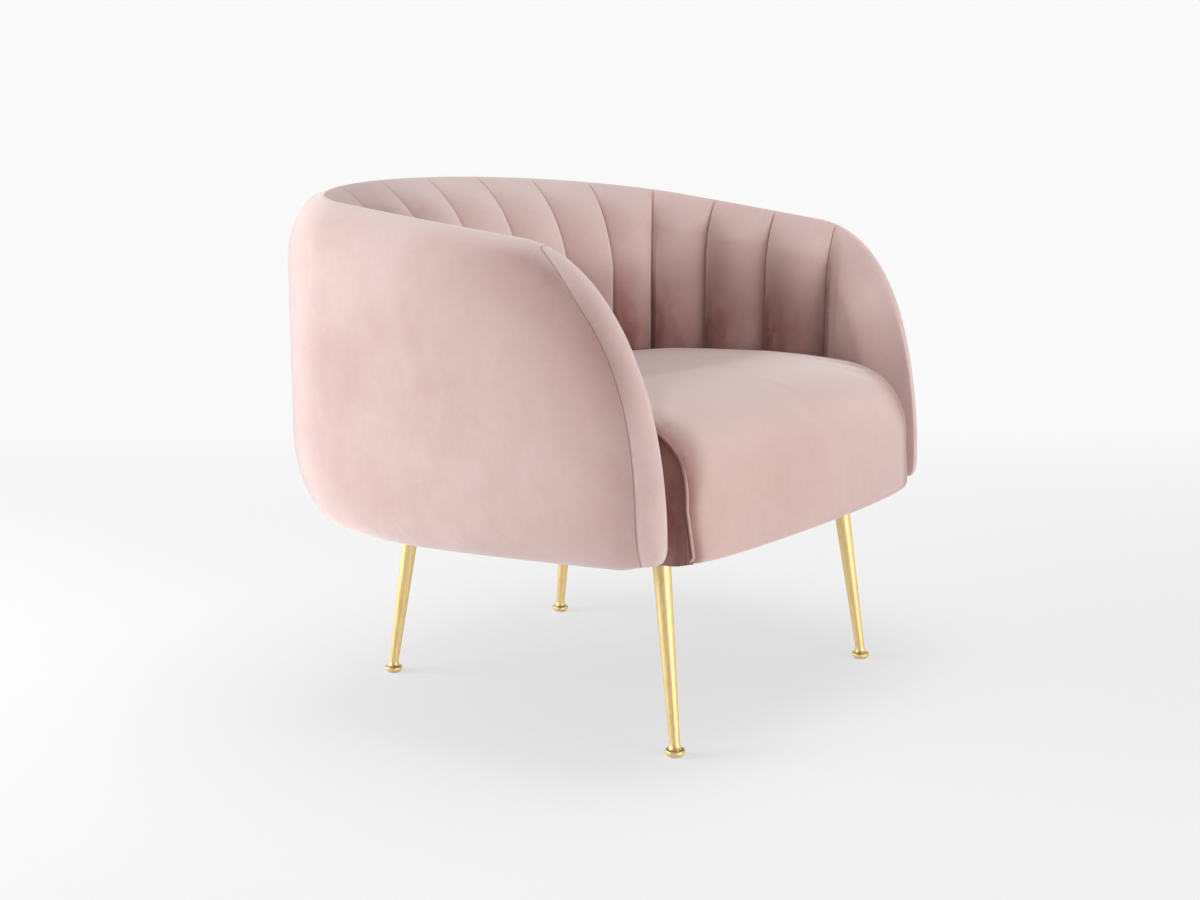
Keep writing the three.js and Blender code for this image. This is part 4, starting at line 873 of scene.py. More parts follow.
def make_arm_facings(tub, material):
    """The facings that wrap the arms' front edges, from facing seam to cross seam."""
    toe = np.linspace(tub.front_run, tub.end_run, TOE_COLUMNS + 1)[1:]
    runs = np.append(facing_columns(tub), toe)
    gap = SEAM_HALF_GAP / tub.sizes.outer_seam_drop
    outer_part = (np.linspace(1, 0, PANEL_OUTER_ROWS + 1) ** 1.2)[:, None] * (1 - 2 * gap)
    s, z = panel_place(tub, runs, outer_part)
    share_run = (runs - runs[0]) / (runs[-1] - runs[0])
    forward = smooth(*PANEL_FOOT, share_run)
    start = tub.seam + SEAM_HALF_GAP
    edge_s, edge_z = tub.rim_at(runs)
    inside_s = blend(start, edge_s - PANEL_RETURN, forward)
    falling = blend(
        tub.rim_height(tub.seam) - PANEL_TOP_GAP, lowest("channel_01").z + PANEL_FOOT_GAP,
        (share_run / PANEL_FOOT[0]) ** PANEL_FALL,
    )
    inner_part = steps(PANEL_INNER_ROWS, power=1.6)
    inner_s = np.maximum(blend(edge_s, inside_s, inner_part), start)
    inner_z = blend(edge_z, blend(falling, edge_z, forward), inner_part)
    grid = np.concatenate([tub.outside(s, z), tub.inside(inner_s, inner_z)])
    normals = -grid_normals(grid)
    seam_way = np.concatenate([way_to_line(*facing_seam(tub), s, z), np.ones(inner_s.shape)])
    cross_way = np.concatenate([s, inner_s]) - start
    depth = np.maximum(
        rolled_depth(seam_way, FACING_SEAM_RADIUS),
        rolled_depth(np.maximum(cross_way, 0), CROSS_SEAM_RADIUS),
    )
    rolled = grid - normals * depth[..., None]
    # painted shade in the seams, outside beside the facing's seam, and inside the arm low down
    # and beside the cross seam
    value = np.maximum(
        FACING_SEAM_SHADE * painted_seam_shade(seam_way, FACING_SEAM_RADIUS),
        CROSS_SEAM_SHADE * painted_seam_shade(cross_way, CROSS_SEAM_RADIUS),
    )
    beside = FACING_SIDE_SHADE * np.exp(-seam_way[:len(s)] / FACING_SIDE_REACH)
    beside = beside * smooth(*FACING_SIDE_HEIGHTS, z) * smooth(*FACING_SIDE_START, share_run)
    flank = FACING_FLANK_SHADE * np.exp(-np.maximum(inner_s - start, 0) / FACING_FLANK_REACH)
    inner_shade = np.maximum(
        FACING_LOW_SHADE * smooth(*FACING_SHADE_HEIGHTS, inner_z),
        flank * smooth(*FACING_FLANK_HEIGHTS, inner_z),
    )
    value = np.maximum(value, np.concatenate([beside, inner_shade]))
    inwards = SEAM_DEPTHS[::-1]
    full = np.concatenate([
        behind(rolled[0], normals[0], inwards), rolled,
        behind(rolled[-1], normals[-1], SEAM_DEPTHS),
    ])
    hidden = len(SEAM_DEPTHS)
    edge_normals = np.pad(normals[:, 0], ((hidden, hidden), (0, 0)), mode="edge")
    full = np.concatenate([behind(full[:, 0], edge_normals, inwards, 1), full], 1)
    # the hidden strips round the facing's edges are painted in full shade
    value = np.pad(value, ((hidden, hidden), (hidden, 0)), constant_values=1)
    for label, side in SIDES.items():
        shape = full if side > 0 else mirrored(full)
        piece = mesh_object(
            f"arm_facing_{label}", [shape], [value if side > 0 else value[:, ::-1]]
        )
        stand_for(piece, [f"arm_front_panel_{label}"], material)


SEAT_SIDE_GAP = 0.004  # from the channels where they are fullest
SEAT_TOUCH = 0.003  # the seat is squeezed this far into that gap
SEAT_CORNER = 0.050  # short of the half ellipse's end, where the seat's back edge ends
SEAT_ARM = 0.060  # short of the arm's tip, where the seat's side leaves the arm
SEAT_CROWN_SPAN = (0.12, 0.62)  # of a half wave, from the back to the turn down in front
SEAT_ROUNDNESS = 2.4  # of the crown across the seat
SEAT_FALL_ROUNDNESS = 2.7
SEAT_CORNER_LIFT = 0.005  # the front's lower corners are drawn up
SEAT_HEM = 0.030  # the cover's return under the front
SEAT_REAR_ROWS = 44
SEAT_FALL_ROWS = 30
SEAT_FACE_ROWS = 14
SEAT_HEM_ROWS = 6
SEAM_INSET = 0.004  # side seams lie this far behind the front's outline
PUFF_REACH = 0.070  # the puff beside a side seam ends this far in
FRONT_START = 0.090  # length over which the rounded fall becomes the front
FRONT_FOOT = (0.100, 0.3)  # over the underside, and how much of the puff is left at its foot
UPWARD_END = 0.060  # behind the turn down in front, where the normals stop pointing straight up
# Painted shades on the seat: how much of the shade colour is mixed into its pile
SEAT_SIDE_SHADE = 0.72  # painted shade beside the side seams, where the arms shade the seat's edges
SEAT_SHADE_REACH = (0.034, 0.080)  # low on the front, and at the turn
SEAT_SHADE_HEIGHTS = (0.33, 0.42)
SEAT_SHADE_START = (0.060, -0.030)  # from the turn down in front
SEAT_SEAM_SHADE = 0.5
SEAT_SEAM_WIDTH = 0.003
SEWN_REACH = 0.022  # the sewn edge holds the cover this far in
SEWN_WIDTH = 0.002
SEAT_COLUMNS = 110
SKIRT_FLARE = 0.020  # the hidden skirt spreads out under the channels and closes the gaps


class SeatShape:
    """Top and front of the tight seat between the arms."""

    def __init__(self, tub, sizes):
        self.tub = tub
        self.sizes = sizes
        self.level = (sizes.height + lowest("seat_foam").z) / 2
        self.rear = tub.corner - SEAT_CORNER
        arm = tub.tip - SEAT_ARM
        self.edge_s = np.linspace(self.rear, arm, 400)
        self.edge = self.edge_at(self.edge_s)
        self.fall_y = self.drop_start(sizes.half_width)

    def edge_at(self, s):
        """The seat's edge beside the inside of the shell."""
        bulge = self.tub.sizes.channel_bulge + SEAT_SIDE_GAP - SEAT_TOUCH
        offset = self.tub.seam_offset(s, np.full_like(s, self.level)) + bulge
        return self.tub.wall(s, self.level, -offset)

    def front_y(self, x):
        bow = self.sizes.bow * (x / self.sizes.half_width) ** 2
        return bow - self.sizes.front_reach + self.sizes.face_lean

    def drop_start(self, x):
        return self.front_y(x) + self.sizes.drop_reach

    def side_x(self, y):
        """Half width of the seat at a place along its side."""
        arm = np.interp(-y, -self.edge[:, 1], self.edge[:, 0])
        end_x, end_y = self.edge[-1, 0], self.edge[-1, 1]
        front = self.front_y(self.sizes.half_width)
        part = smooth(0, 1, (end_y - y) / (end_y - front))
        return np.where(y > end_y, arm, blend(end_x, min(self.sizes.half_width, end_x), part))

    def top(self, x, y, half):
        back = self.edge_at(np.zeros(1))[0, 1]
        along = np.clip((back - y) / (back - self.drop_start(0)), 0, 1)
        wave = np.sin(math.pi * blend(*SEAT_CROWN_SPAN, along))
        across = np.clip(np.abs(x) / half, 0, 1)
        crown = self.sizes.crown * (1 - across**SEAT_ROUNDNESS) * wave
        fall = self.sizes.slope * np.maximum(0, y - self.drop_start(x))
        return self.sizes.height + crown - fall

    def rear_rows(self, u):
        part = np.append(0, steps(SEAT_REAR_ROWS, power=1.35))[:, None]
        back = self.edge_at(u * self.rear)
        back[:, 0] = np.abs(back[:, 0]) * np.sign(u)
        side_y = blend(self.edge[0, 1], self.fall_y, part)
        wide = self.side_x(np.array([self.fall_y]))[0]
        bulge = self.side_x(side_y) - blend(self.edge[0, 0], wide, part)
        x = blend(back[:, 0], u * wide, part) + u * bulge
        y = blend(back[:, 1], self.drop_start(u * wide), part)
        return np.stack([x, y, self.top(x, y, self.side_x(side_y))], -1)

    def fall_rows(self, u):
        sizes = self.sizes
        power = 2 / SEAT_FALL_ROUNDNESS
        angle = steps(SEAT_FALL_ROWS, QUARTER)
        fall = 1 - np.clip(np.cos(angle), 0, 1) ** power
        forward = sizes.drop_reach * np.sin(angle) ** power
        wide = self.side_x(self.fall_y - forward)
        x = u * wide
        start = self.drop_start(x)
        top = self.top(x, start, wide)
        z = top - (top - sizes.height + sizes.drop_height) * fall
        return np.stack([x, start - forward, z], -1)

    def face_rows(self, u):
        """The upright front, its rounded lower edge and the hem under it."""
        sizes = self.sizes
        foot = self.tub.sizes.underside + SEAT_CORNER_LIFT * np.abs(u) ** 8
        part = steps(SEAT_FACE_ROWS)
        x = u * (sizes.half_width - sizes.side_draw * part)
        z = blend(sizes.height - sizes.drop_height, foot + sizes.hem_radius, part)
        face = np.stack([x, self.front_y(x) - sizes.face_lean * part, z + 0 * x], -1)
        turn = np.linspace(0, QUARTER, SEAT_HEM_ROWS + 1)[1:]
        roll = [
            face[-1] + np.array([0.0, 1 - math.cos(angle), -math.sin(angle)]) * sizes.hem_radius
            for angle in turn
        ]
        hem = [roll[-1] + np.array([0, SEAT_HEM * reach, 0]) for reach in (0.4, 1.0)]
        return np.concatenate([face, np.stack(roll), np.stack(hem)])

    def surface(self, u):
        return np.concatenate([self.rear_rows(u), self.fall_rows(u), self.face_rows(u)])


def seat_normals(seat, grid):
    """Outward normals, straight up beside the arms and the back."""
    up = np.array([0.0, 0.0, 1.0])
    front = smooth(seat.fall_y + UPWARD_END, seat.fall_y, grid[..., 1])[..., None]
    normals = blend(up, -grid_normals(grid), front)
    return normals / np.linalg.norm(normals, axis=-1, keepdims=True)


def seat_rise(seat, grid, side_way, back_way):
    """The cover against the padding's even outline: rolled at its edges, puffed in front."""
    sizes = seat.sizes
    y, z = grid[..., 1], grid[..., 2]
    under = seat.tub.sizes.underside
    front = smooth(seat.fall_y, seat.fall_y - FRONT_START, y)
    low = smooth(under + FRONT_FOOT[0], under, z)
    puff = front * sizes.front_puff * blend(1, FRONT_FOOT[1], low)
    inset = blend(sizes.edge_roundness, SEAM_INSET, front)
    part = np.clip(1 - side_way / sizes.edge_roundness, 0, 1)
    edge = 1 - np.sqrt(1 - part**2)
    settle = smooth(PUFF_REACH, sizes.edge_roundness, side_way)
    rise = puff * settle - (puff + inset) * edge
    return np.minimum(rise, puff * settle - rolled_depth(back_way, sizes.edge_roundness)), front


CLOTH_FRAMES = 20
CLOTH_PRESSURE = 3.0
CLOTH_CAP = 0.005  # the most that any place moves
CLOTH_SETTINGS = {
    "quality": 6, "mass": 0.3, "tension_stiffness": 25, "compression_stiffness": 25,
    "shear_stiffness": 12, "bending_stiffness": 4, "use_pressure": True,
    "uniform_pressure_force": CLOTH_PRESSURE, "pin_stiffness": 30,
}


def fill_cloth(piece, outward, held):
    """Presses the cover out as cloth under its padding's pressure, and applies the result.

    held is how firmly each place is sewn down, from 0 to 1, and outward a way that most of
    the cover faces.
    """
    mesh = piece.data
    faces = np.array([face.normal for face in mesh.polygons])
    if (faces @ np.array(outward)).sum() < 0:
        mesh.flip_normals()
    sewn = piece.vertex_groups.new(name="sewn")
    for index, weight in enumerate(held):
        if weight > 0.01:
            sewn.add([index], float(weight), "REPLACE")
    cloth = piece.modifiers.new("padding", "CLOTH")
    for name, value in CLOTH_SETTINGS.items():
        setattr(cloth.settings, name, value)
    cloth.settings.effector_weights.gravity = 0
    cloth.settings.vertex_group_mass = sewn.name
    cloth.collision_settings.use_collision = False
    cloth.point_cache.frame_start = 1
    cloth.point_cache.frame_end = CLOTH_FRAMES
    scene = bpy.context.scene
    for number in range(1, CLOTH_FRAMES + 1):
        scene.frame_set(number)
    filled = piece.evaluated_get(bpy.context.evaluated_depsgraph_get()).data
    before = np.array([v.co for v in mesh.vertices])
    after = np.array([v.co for v in filled.vertices])
    piece.modifiers.remove(cloth)
    piece.vertex_groups.remove(sewn)
    scene.frame_set(1)
    move = after - before
    size = np.linalg.norm(move, axis=1, keepdims=True)
    if not np.isfinite(size).all():
        raise RuntimeError(f"{piece.name}: the cloth did not settle")
    move = move * np.minimum(1, CLOTH_CAP / np.maximum(size, 1e-9))
    mesh.vertices.foreach_set("co", (before + move).ravel())
    mesh.update()


def make_seat(seat, material):
    """Seat pad: top, rounded front and a soft edge down its sides and back."""
    u = packed_ends(SEAT_COLUMNS, 1.8)
    grid = seat.surface(u)
    normals = seat_normals(seat, grid)
    side_way = (1 - np.abs(u))[None, :] * np.abs(grid[:, -1:, 0])
    back_way = np.linalg.norm(grid - grid[:1], axis=-1)
    rise, front = seat_rise(seat, grid, side_way, back_way)
    rolled = grid + normals * rise[..., None]
    reach = seat.sizes.thickness - seat.sizes.edge_roundness
    depths = [reach * part for part in HIDDEN_PARTS]
    hidden = len(depths)
    back = behind(rolled[0], normals[0], depths[::-1])
    back[0, :, 1] += SKIRT_FLARE
    full = np.concatenate([back, rolled])
    # painted shade beside the side seams, where the arms shade the seat, and in the seams
    beside = smooth(*(seat.fall_y + way for way in SEAT_SHADE_START), grid[..., 1])
    shade_reach = blend(*SEAT_SHADE_REACH, smooth(*SEAT_SHADE_HEIGHTS, grid[..., 2]))
    shade = SEAT_SIDE_SHADE * beside * smooth(1, 0, side_way / shade_reach) ** 1.5
    value = np.maximum(shade, SEAT_SEAM_SHADE * front * painted_seam_shade(side_way, SEAT_SEAM_WIDTH))
    value = np.pad(value, ((hidden, 0), (0, 0)))
    # the hidden side strips are painted in full shade, so the gaps beside the arms look dark
    value = np.pad(value, ((0, 0), (hidden, hidden)), constant_values=1)
    strips = []
    for edge, side in ((0, 1), (-1, -1)):
        inward = np.array([side, 0.0, 0.0])
        out = np.pad(normals[:, edge], ((hidden, 0), (0, 0)), mode="edge")
        tucked = np.pad(front[:, edge], (hidden, 0))[:, None]
        strip = behind(full[:, edge], out - inward * tucked, depths, 1)
        strip[:, -1] -= inward * SKIRT_FLARE * (1 - tucked)
        strips.append(strip)
    full = np.concatenate([strips[0][:, ::-1], full, strips[1]], 1)
    piece = mesh_object("seat_velvet", [full], [value])
    places = np.array([v.co for v in piece.data.vertices])
    edge = np.concatenate([full[4], full[:, 3], full[:, -4], full[-3]])
    near = np.sqrt(((places[:, None] - edge[None]) ** 2).sum(2).min(1))
    held = smooth(SEWN_REACH, SEWN_WIDTH, near)
    held[places[:, 2] < full[-3:, :, 2].max() + MILLIMETRE] = 1
    fill_cloth(piece, (0, -0.5, 1), held)
    stand_for(piece, ["seat_pad"], material)


BOXING_SET_IN = 0.0025  # sideways, from the seam
BOXING_OVERHANG = 0.0006  # its hem hides the edge of the lining
BOXING_PUFF = 0.0015
BOXING_START = 0.010  # ahead of where the seat turns down
BOXING_SEAM_WIDTH = 0.010
# painted shade on the boxing, away from its seam and at it
BOXING_SHADES = (0.8, 1)
BOXING_INSET = SEAM_INSET + 0.001  # from the seat's front outline
BOXING_ROWS = 24
BOXING_COLUMNS = 66
WELT_INSET = SEAM_INSET - 0.0004
WELT_RADIUS = 0.0019
WELT_SIDES = 10
WELT_POINTS = 90
WELT_SHADE = (0.12, 0.80)  # painted shade on the welt, low on the front, and at the turn
WELT_SHADE_HEIGHTS = (0.345, 0.395)


def side_profile(seat, inset, count, rows_left=SEAT_HEM_ROWS + 2):
    """The seat's front outline at its side, moved in by an inset."""
    surface = seat.surface(np.array([0.999, 1.0]))[:-rows_left]
    line = surface[:, 1] + grid_normals(surface)[:, 1] * inset
    line = line[line[:, 1] < seat.fall_y - BOXING_START]
    way = np.append(0, np.cumsum(np.linalg.norm(np.diff(line, axis=0), axis=1)))
    places = np.linspace(0, way[-1], count)
    return np.stack([np.interp(places, way, line[:, axis]) for axis in range(3)], -1)


def make_boxings(seat, material):
    """Side facings of the seat's front, and the welt that joins them to the pad."""
    under = lowest("seat_pad").z - BOXING_OVERHANG
    line = side_profile(seat, BOXING_INSET, BOXING_COLUMNS)
    part = np.linspace(0, 1, BOXING_ROWS + 1)[:, None]
    y = line[:, 1] + 0 * part
    corner = SEAT_CORNER_LIFT * smooth(line[0, 1], line[-1, 1], line[:, 1]) ** 30
    z = blend(line[:, 2], under + corner, part)
    puff = BOXING_PUFF * np.sin(math.pi * part)
    grid = np.stack([line[:, 0] - BOXING_SET_IN + puff + 0 * y, y, z], -1)
    # painted shade over the whole boxing, fullest at its seam: it lies in the shaded gap beside
    # the arm
    value = blend(*BOXING_SHADES, painted_seam_shade(np.abs(z - line[:, 2]), BOXING_SEAM_WIDTH))
    welt = side_profile(seat, WELT_INSET, WELT_POINTS, 2)
    # painted shade on the welt, deepest at the turn
    welt_shade = blend(*WELT_SHADE, smooth(*WELT_SHADE_HEIGHTS, welt[:, 2]))
    for label, side in SIDES.items():
        shape = grid if side > 0 else mirrored(grid)
        panel = mesh_object(f"seat_side_{label}", [shape], [value])
        stand_for(panel, [f"seat_boxing_{label}"], material)
        path = welt * np.array([side, 1, 1])
        cord = tube(f"seat_welt_{label}", path, WELT_RADIUS, WELT_SIDES, welt_shade)
        cord.data.materials.append(material)
        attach(cord, "root")


def tube(name, path, radius, sides, shade):
    """Closed round cord along a path, with a painted shade value at each point of it."""
    along = np.gradient(path, axis=0)
    along = along / np.linalg.norm(along, axis=1, keepdims=True)
    across = np.cross(along, np.array([1.0, 0, 0]))
    across = across / np.linalg.norm(across, axis=1, keepdims=True)
    other = np.cross(along, across)
    turn = np.linspace(0, 2 * math.pi, sides + 1)
    ends = np.ones(len(path))
    ends[[0, -1]] = 0.02
    ring = radius * ends[:, None, None] * (
        np.cos(turn)[None, :, None] * across[:, None]
        + np.sin(turn)[None, :, None] * other[:, None]
    )
    return mesh_object(name, [path[:, None] + ring], [shade[:, None] + 0 * ring[..., 0]])


LEG_SIDES = 64
LEG_ROWS = 40
SAME_LEVEL = 2e-4


def ring_of(points, height):
    """Centre and radius of a node's ring of points at a height."""
    level = points[np.abs(points[:, 2] - height) < SAME_LEVEL]
    centre = (level.max(0) + level.min(0)) / 2
    return centre, np.linalg.norm((level - centre)[:, :2], axis=1).max()


def turned_piece(name, centres, radii):
    """Turned metal piece from the centres and radii of its level rings."""
    turn = np.linspace(0, 2 * math.pi, LEG_SIDES + 1)
    circle = np.stack([np.cos(turn), np.sin(turn), 0 * turn], -1)
    grid = centres[:, None] + radii[:, None, None] * circle[None]
    return mesh_object(name, [grid])


def make_leg(corner, sizes, material):
    """One tapered leg that flares a little onto its foot disc."""
    points = np.array([v.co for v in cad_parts[f"leg_{corner}"].data.vertices])
    low, high = points[:, 2].min(), points[:, 2].max()
    foot, foot_radius = ring_of(points, low)
    top, top_radius = ring_of(points, high)
    part = np.linspace(0, 1, LEG_ROWS + 1) ** 1.8
    centres = blend(foot, top, part[:, None])
    flare = np.clip(1 - (centres[:, 2] - low) / sizes.flare_height, 0, 1) ** 2.2
    radii = blend(foot_radius, top_radius, part) + sizes.foot_flare * flare
    centres = np.concatenate([foot[None], centres, top[None]])
    radii = np.concatenate([[0.0], radii, [0.0]])
    leg = turned_piece(f"brass_leg_{corner}", centres, radii)
    stand_for(leg, [f"leg_{corner}"], material)


def make_foot(corner, sizes, material):
    """One foot disc with rounded rims."""
    low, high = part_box(f"foot_disc_{corner}")
    centre = np.array((low + high) / 2)
    half = (high.x - low.x) / 2
    radius = sizes.rim_radius
    turn = np.linspace(0, QUARTER, 9)
    edge = half - radius + radius * np.sin(turn)
    lower = low.z + radius * (1 - np.cos(turn))
    radii = np.concatenate([[0.0], edge, edge[::-1], [half * 0.55, 0.0]])
    heights = np.concatenate([[low.z], lower, (low.z + high.z - lower)[::-1], [high.z, high.z]])
    centres = np.repeat(centre[None], len(radii), 0)
    centres[:, 2] = heights
    disc = turned_piece(f"brass_foot_{corner}", centres, radii)
    stand_for(disc, [f"foot_disc_{corner}"], material)


TIMBER_NODES = (
    "top_rail", "back_post", "arm_post", "base_ring", "front_rail", "back_rail", "side_rail",
    "corner_block",
)

# nodes, then name, light, dark, blotch size, stretch, roughness, relief and metallic
PLAIN_FINISHES = (
    (TIMBER_NODES, "planed_beech", "#C9A06B", "#A97F4D", 0.004, (14, 14, 1), 0.6, 0.0003, 0),
    (("inner_back_shell",), "sanded_birch_plywood", "#D8BA88", "#BE9A66", 0.006, (1, 1, 12),
     0.55, 0.0002, 0),
    (("seat_foam",), "cut_seat_foam", "#EFE6CC", "#D9CDA9", 0.002, (1, 1, 1), 0.95, 0.0006, 0),
    (("leg_plate", "leg_stud"), "zinc_plated_steel", "#B4B6B8", "#8E9092", 0.003, (1, 1, 1),
     0.35, 0.00005, 1),
    (("floor_pad",), "moulded_nylon", "#D6D0C4", "#C8C1B4", 0.001, (1, 1, 1), 0.55, 0.0001, 0),
)

# nodes, then name, light, dark, pitch of the threads and roughness
WOVEN_FINISHES = (
    (("webbing",), "woven_elastic_webbing", "#5A5853", "#2E2D2A", 0.002, 0.85),
    (("dust_cover",), "pressed_black_lining", "#2C2C2D", "#141415", 0.0015, 0.95),
)


def finish_nodes(prefixes, material):
    """Gives every CAD node whose name starts so its material."""
    for name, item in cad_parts.items():
        if name.startswith(prefixes):
            item.data.materials.clear()
            item.data.materials.append(material)


def material_once(name, make, *values):
    return bpy.data.materials.get(name) or make(name, *values)


def cover_material(colours):
    return material_once(
        "cut_pile_velvet", velvet, colours.velvet_light, colours.velvet_deep,
        colours.velvet_painted_shade,
    )


def seat_material(colours):
    return material_once(
        "seat_cut_pile_velvet", velvet, colours.seat_light, colours.seat_deep,
        colours.velvet_painted_shade,
    )


def brass_material(colours):
    return material_once(
        "brushed_lacquered_brass", brushed_brass, colours.brass, colours.brass_shade
    )


class TUBCHAIR_OT_shell(bpy.types.Operator):
    """Cover the shell's outside and line its inside with channels"""

    bl_idname = "tub_chair.shell"
    bl_label = "Shell Velvet"

    def execute(self, context):
        tub = TubShape(context.scene.tub_shell)
        make_shell(tub, cover_material(context.scene.tub_colours))
        return {"FINISHED"}


class TUBCHAIR_OT_arm_facings(bpy.types.Operator):
    """Wrap the arms' front edges"""

    bl_idname = "tub_chair.arm_facings"
    bl_label = "Arm Facings"

    def execute(self, context):
        tub = TubShape(context.scene.tub_shell)
        make_arm_facings(tub, cover_material(context.scene.tub_colours))
        return {"FINISHED"}


class TUBCHAIR_OT_seat(bpy.types.Operator):
    """Cover the seat and its sides"""

    bl_idname = "tub_chair.seat"
    bl_label = "Seat"

    def execute(self, context):
        tub = TubShape(context.scene.tub_shell)
        seat = SeatShape(tub, context.scene.tub_seat)
        material = seat_material(context.scene.tub_colours)
        make_seat(seat, material)
        make_boxings(seat, material)
        return {"FINISHED"}


class TUBCHAIR_OT_legs(bpy.types.Operator):
    """Turn the four brass legs and their foot discs"""

    bl_idname = "tub_chair.legs"
    bl_label = "Legs"

    def execute(self, context):
        sizes = context.scene.tub_legs
        material = brass_material(context.scene.tub_colours)
        for corner in CORNERS:
            make_leg(corner, sizes, material)
            make_foot(corner, sizes, material)
        return {"FINISHED"}


class TUBCHAIR_OT_frame(bpy.types.Operator):
    """Finish the wood, foam, webbing, lining and fittings of the frame"""

    bl_idname = "tub_chair.frame"
    bl_label = "Frame Finishes"

    def execute(self, context):
        colours = context.scene.tub_colours
        cover = cover_material(colours)
        finish_nodes(("outer_cover", "rim_roll", "channel_", "arm_front_panel"), cover)
        finish_nodes(("seat_pad", "seat_boxing"), seat_material(colours))
        finish_nodes(("leg_", "foot_disc"), brass_material(colours))
        for nodes, *values in PLAIN_FINISHES:
            finish_nodes(nodes, plain_finish(*values))
        for nodes, *values in WOVEN_FINISHES:
            finish_nodes(nodes, woven_finish(*values))
        return {"FINISHED"}


FLOOR_WIDTH = 14.0
FLOOR_FRONT = -5.0
SWEEP_START = 4.2
SWEEP_RADIUS = 2.4
SWEEP_TOP = 6.0
CAMERA_PLACE = (-1.9314, -1.3660, 0.7434)
CAMERA_TILT = 80.02
CAMERA_TURN = -54.406
CAMERA_LENS = 49.5
SENSOR_WIDTH = 36.0
AIR_COLOUR = "#F8F8FA"
AIR_STRENGTH = 0.30
FLOOR_GLOW = "#FCFCFC"
FLOOR_GLOW_WAYS = (-0.3, 2.6)  # from the chair along the view
FLOOR_GLOW_PARTS = (0.6, 0.97)

# name, place, target, size and power
LIGHTS = (
    ("left_softbox", (-1.9, 2.1, 0.9), (0, 0, 0.45), (1.8, 1.0), 72),
    ("right_softbox", (2.2, -2.3, 0.6), (0, 0, 0.4), (1.6, 1.0), 10),
    ("front_softbox", (-0.4, -3.2, 0.5), (0, 0, 0.4), (1.4, 0.9), 42),
    ("top_softbox", (0.1, -0.2, 3.0), (0, 0, 0.4), (1.8, 1.8), 31),
)


def studio_surface(name, surface_colour):
    """Matt painted studio floor that the camera sees a little brighter than it is lit."""
    material, tree = new_material(name)
    grain = noise(tree, 0.35, detail=3)
    shader = node(tree, "ShaderNodeBsdfPrincipled", {
        "Base Color": mix(tree, grain, surface_colour, [c * 0.985 for c in surface_colour]),
        "Roughness": 0.85, "Specular IOR Level": 0.1,
    })
    glow = node(tree, "ShaderNodeEmission", {
        "Color": with_alpha(linear(FLOOR_GLOW)), "Strength": 1.0,
    })
    rays = node(tree, "ShaderNodeLightPath").outputs
    seen = math_node(tree, "MAXIMUM", rays["Is Camera Ray"], rays["Is Glossy Ray"])
    # the far floor and the backdrop behind it are lit on their own, almost to white
    place = node(tree, "ShaderNodeSeparateXYZ", {"Vector": object_place(tree)}).outputs["Y"]
    far = node(tree, "ShaderNodeMapRange", {
        "Value": place, "From Min": FLOOR_GLOW_WAYS[0], "From Max": FLOOR_GLOW_WAYS[1],
        "To Min": FLOOR_GLOW_PARTS[0], "To Max": FLOOR_GLOW_PARTS[1],
    }, interpolation_type="SMOOTHSTEP").outputs[0]
    both = node(tree, "ShaderNodeMixShader", {
        0: math_node(tree, "MULTIPLY", seen, far), 1: shader.outputs[0], 2: glow.outputs[0],
    })
    node(tree, "ShaderNodeOutputMaterial", {"Surface": both.outputs[0]})
    return material


def make_floor(surface_colour):
    """Floor that sweeps up into a backdrop behind the chair, along the camera's view."""
    turn = np.linspace(0, QUARTER, 25)
    y = np.concatenate([[FLOOR_FRONT, 0], SWEEP_START + SWEEP_RADIUS * np.sin(turn)])
    z = np.concatenate([[0, 0], SWEEP_RADIUS * (1 - np.cos(turn))])
    y, z = np.append(y, y[-1]), np.append(z, SWEEP_TOP)
    x = np.linspace(-FLOOR_WIDTH / 2, FLOOR_WIDTH / 2, 9)
    grid = np.stack([x[None] + 0 * y[:, None], y[:, None] + 0 * x, z[:, None] + 0 * x], -1)
    floor = mesh_object("studio_floor", [grid])
    floor.matrix_world = Matrix.Rotation(math.radians(CAMERA_TURN), 4, "Z")
    floor.data.materials.append(studio_surface("painted_studio_floor", surface_colour))


def add_light(name, place, target, size, power):
    data = bpy.data.lights.new(name, "AREA")
    data.shape = "RECTANGLE"
    data.size, data.size_y = size
    data.energy = power
    light = bpy.data.objects.new(name, data)
    light.location = place
    light.rotation_euler = (Vector(target) - Vector(place)).to_track_quat("-Z", "Y").to_euler()
    light.visible_camera = False
    bpy.context.scene.collection.objects.link(light)


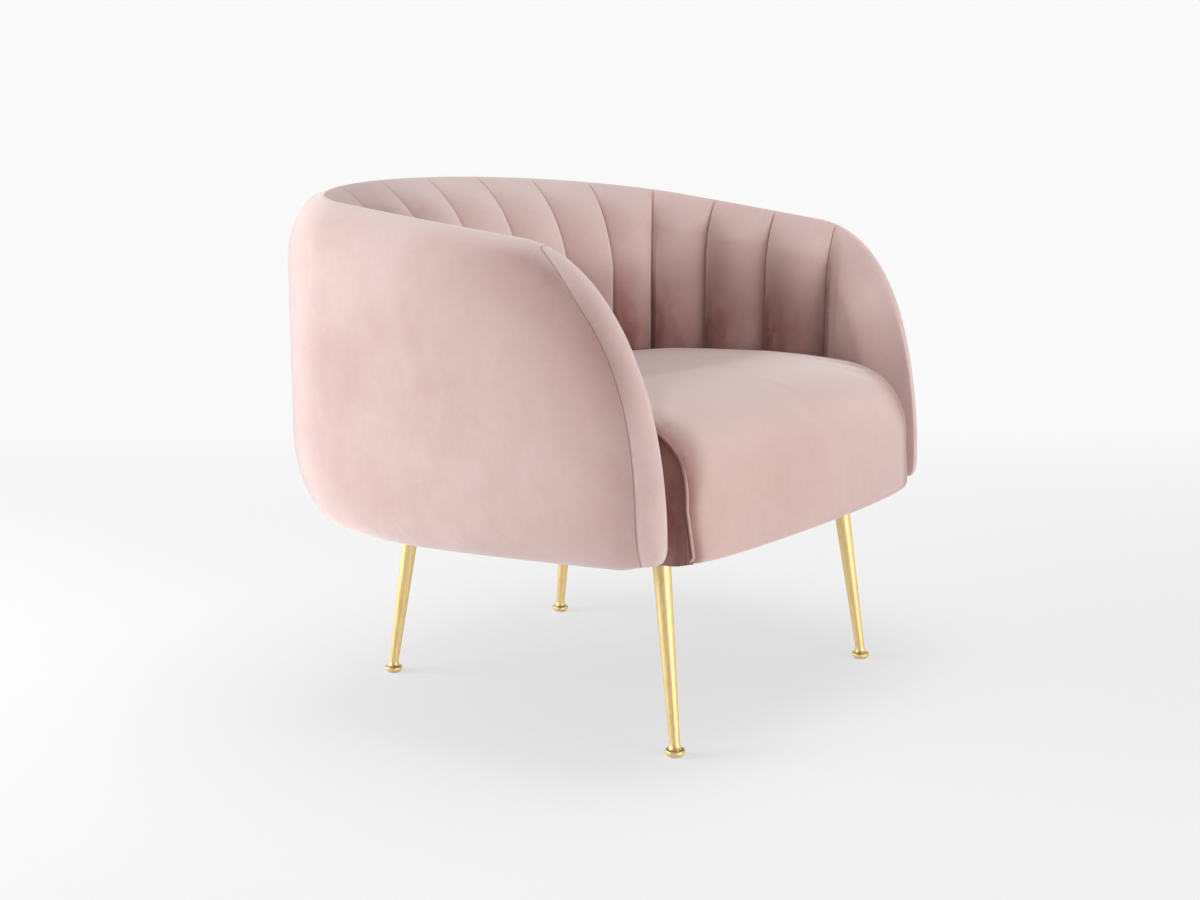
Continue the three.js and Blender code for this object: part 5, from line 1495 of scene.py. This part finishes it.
class TUBCHAIR_OT_stage(bpy.types.Operator):
    """Set up the studio floor, the lights and the camera"""

    bl_idname = "tub_chair.stage"
    bl_label = "Studio Stage"

    def execute(self, context):
        scene = context.scene
        make_floor(scene.tub_colours.floor)
        for light in LIGHTS:
            add_light(*light)
        world = bpy.data.worlds.new("studio_air")
        world.use_nodes = True
        background = world.node_tree.nodes["Background"]
        background.inputs["Color"].default_value = with_alpha(linear(AIR_COLOUR))
        background.inputs["Strength"].default_value = AIR_STRENGTH
        scene.world = world
        scene.view_settings.view_transform = "Standard"
        camera_data = bpy.data.cameras.new("studio_camera")
        camera_data.lens = CAMERA_LENS
        camera_data.sensor_width = SENSOR_WIDTH
        camera_data.sensor_fit = "HORIZONTAL"
        camera = bpy.data.objects.new("studio_camera", camera_data)
        camera.location = CAMERA_PLACE
        camera.rotation_euler = (math.radians(CAMERA_TILT), 0, math.radians(CAMERA_TURN))
        scene.collection.objects.link(camera)
        scene.camera = camera
        return {"FINISHED"}


STEPS = (
    TUBCHAIR_OT_stage, TUBCHAIR_OT_shell, TUBCHAIR_OT_arm_facings, TUBCHAIR_OT_seat,
    TUBCHAIR_OT_legs, TUBCHAIR_OT_frame,
)


class TUBCHAIR_PT_panel(bpy.types.Panel):
    """Lists the chair's pieces"""

    bl_idname = "TUBCHAIR_PT_panel"
    bl_label = "Tub Chair"
    bl_space_type = "VIEW_3D"
    bl_region_type = "UI"
    bl_category = "Tub Chair"

    def draw(self, context):
        for step in STEPS:
            self.layout.operator(step.bl_idname)
        for group in (context.scene.tub_shell, context.scene.tub_seat):
            box = self.layout.box()
            for name in group.bl_rna.properties.keys():
                if name not in ("rna_type", "name"):
                    box.prop(group, name)


GROUPS = {
    "tub_shell": ShellSizes, "tub_seat": SeatSizes, "tub_legs": LegSizes,
    "tub_colours": FinishColours,
}


def register():
    for group in GROUPS.values():
        bpy.utils.register_class(group)
    for name, group in GROUPS.items():
        setattr(bpy.types.Scene, name, PointerProperty(type=group))
    for step in (*STEPS, TUBCHAIR_PT_panel):
        bpy.utils.register_class(step)


def unregister():
    for step in (TUBCHAIR_PT_panel, *reversed(STEPS)):
        bpy.utils.unregister_class(step)
    for name, group in reversed(GROUPS.items()):
        delattr(bpy.types.Scene, name)
        bpy.utils.unregister_class(group)


def main():
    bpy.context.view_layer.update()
    register()
    bpy.ops.tub_chair.stage()
    bpy.ops.tub_chair.shell()
    bpy.ops.tub_chair.arm_facings()
    bpy.ops.tub_chair.seat()
    bpy.ops.tub_chair.legs()
    bpy.ops.tub_chair.frame()


if __name__ == "__main__":
    main()
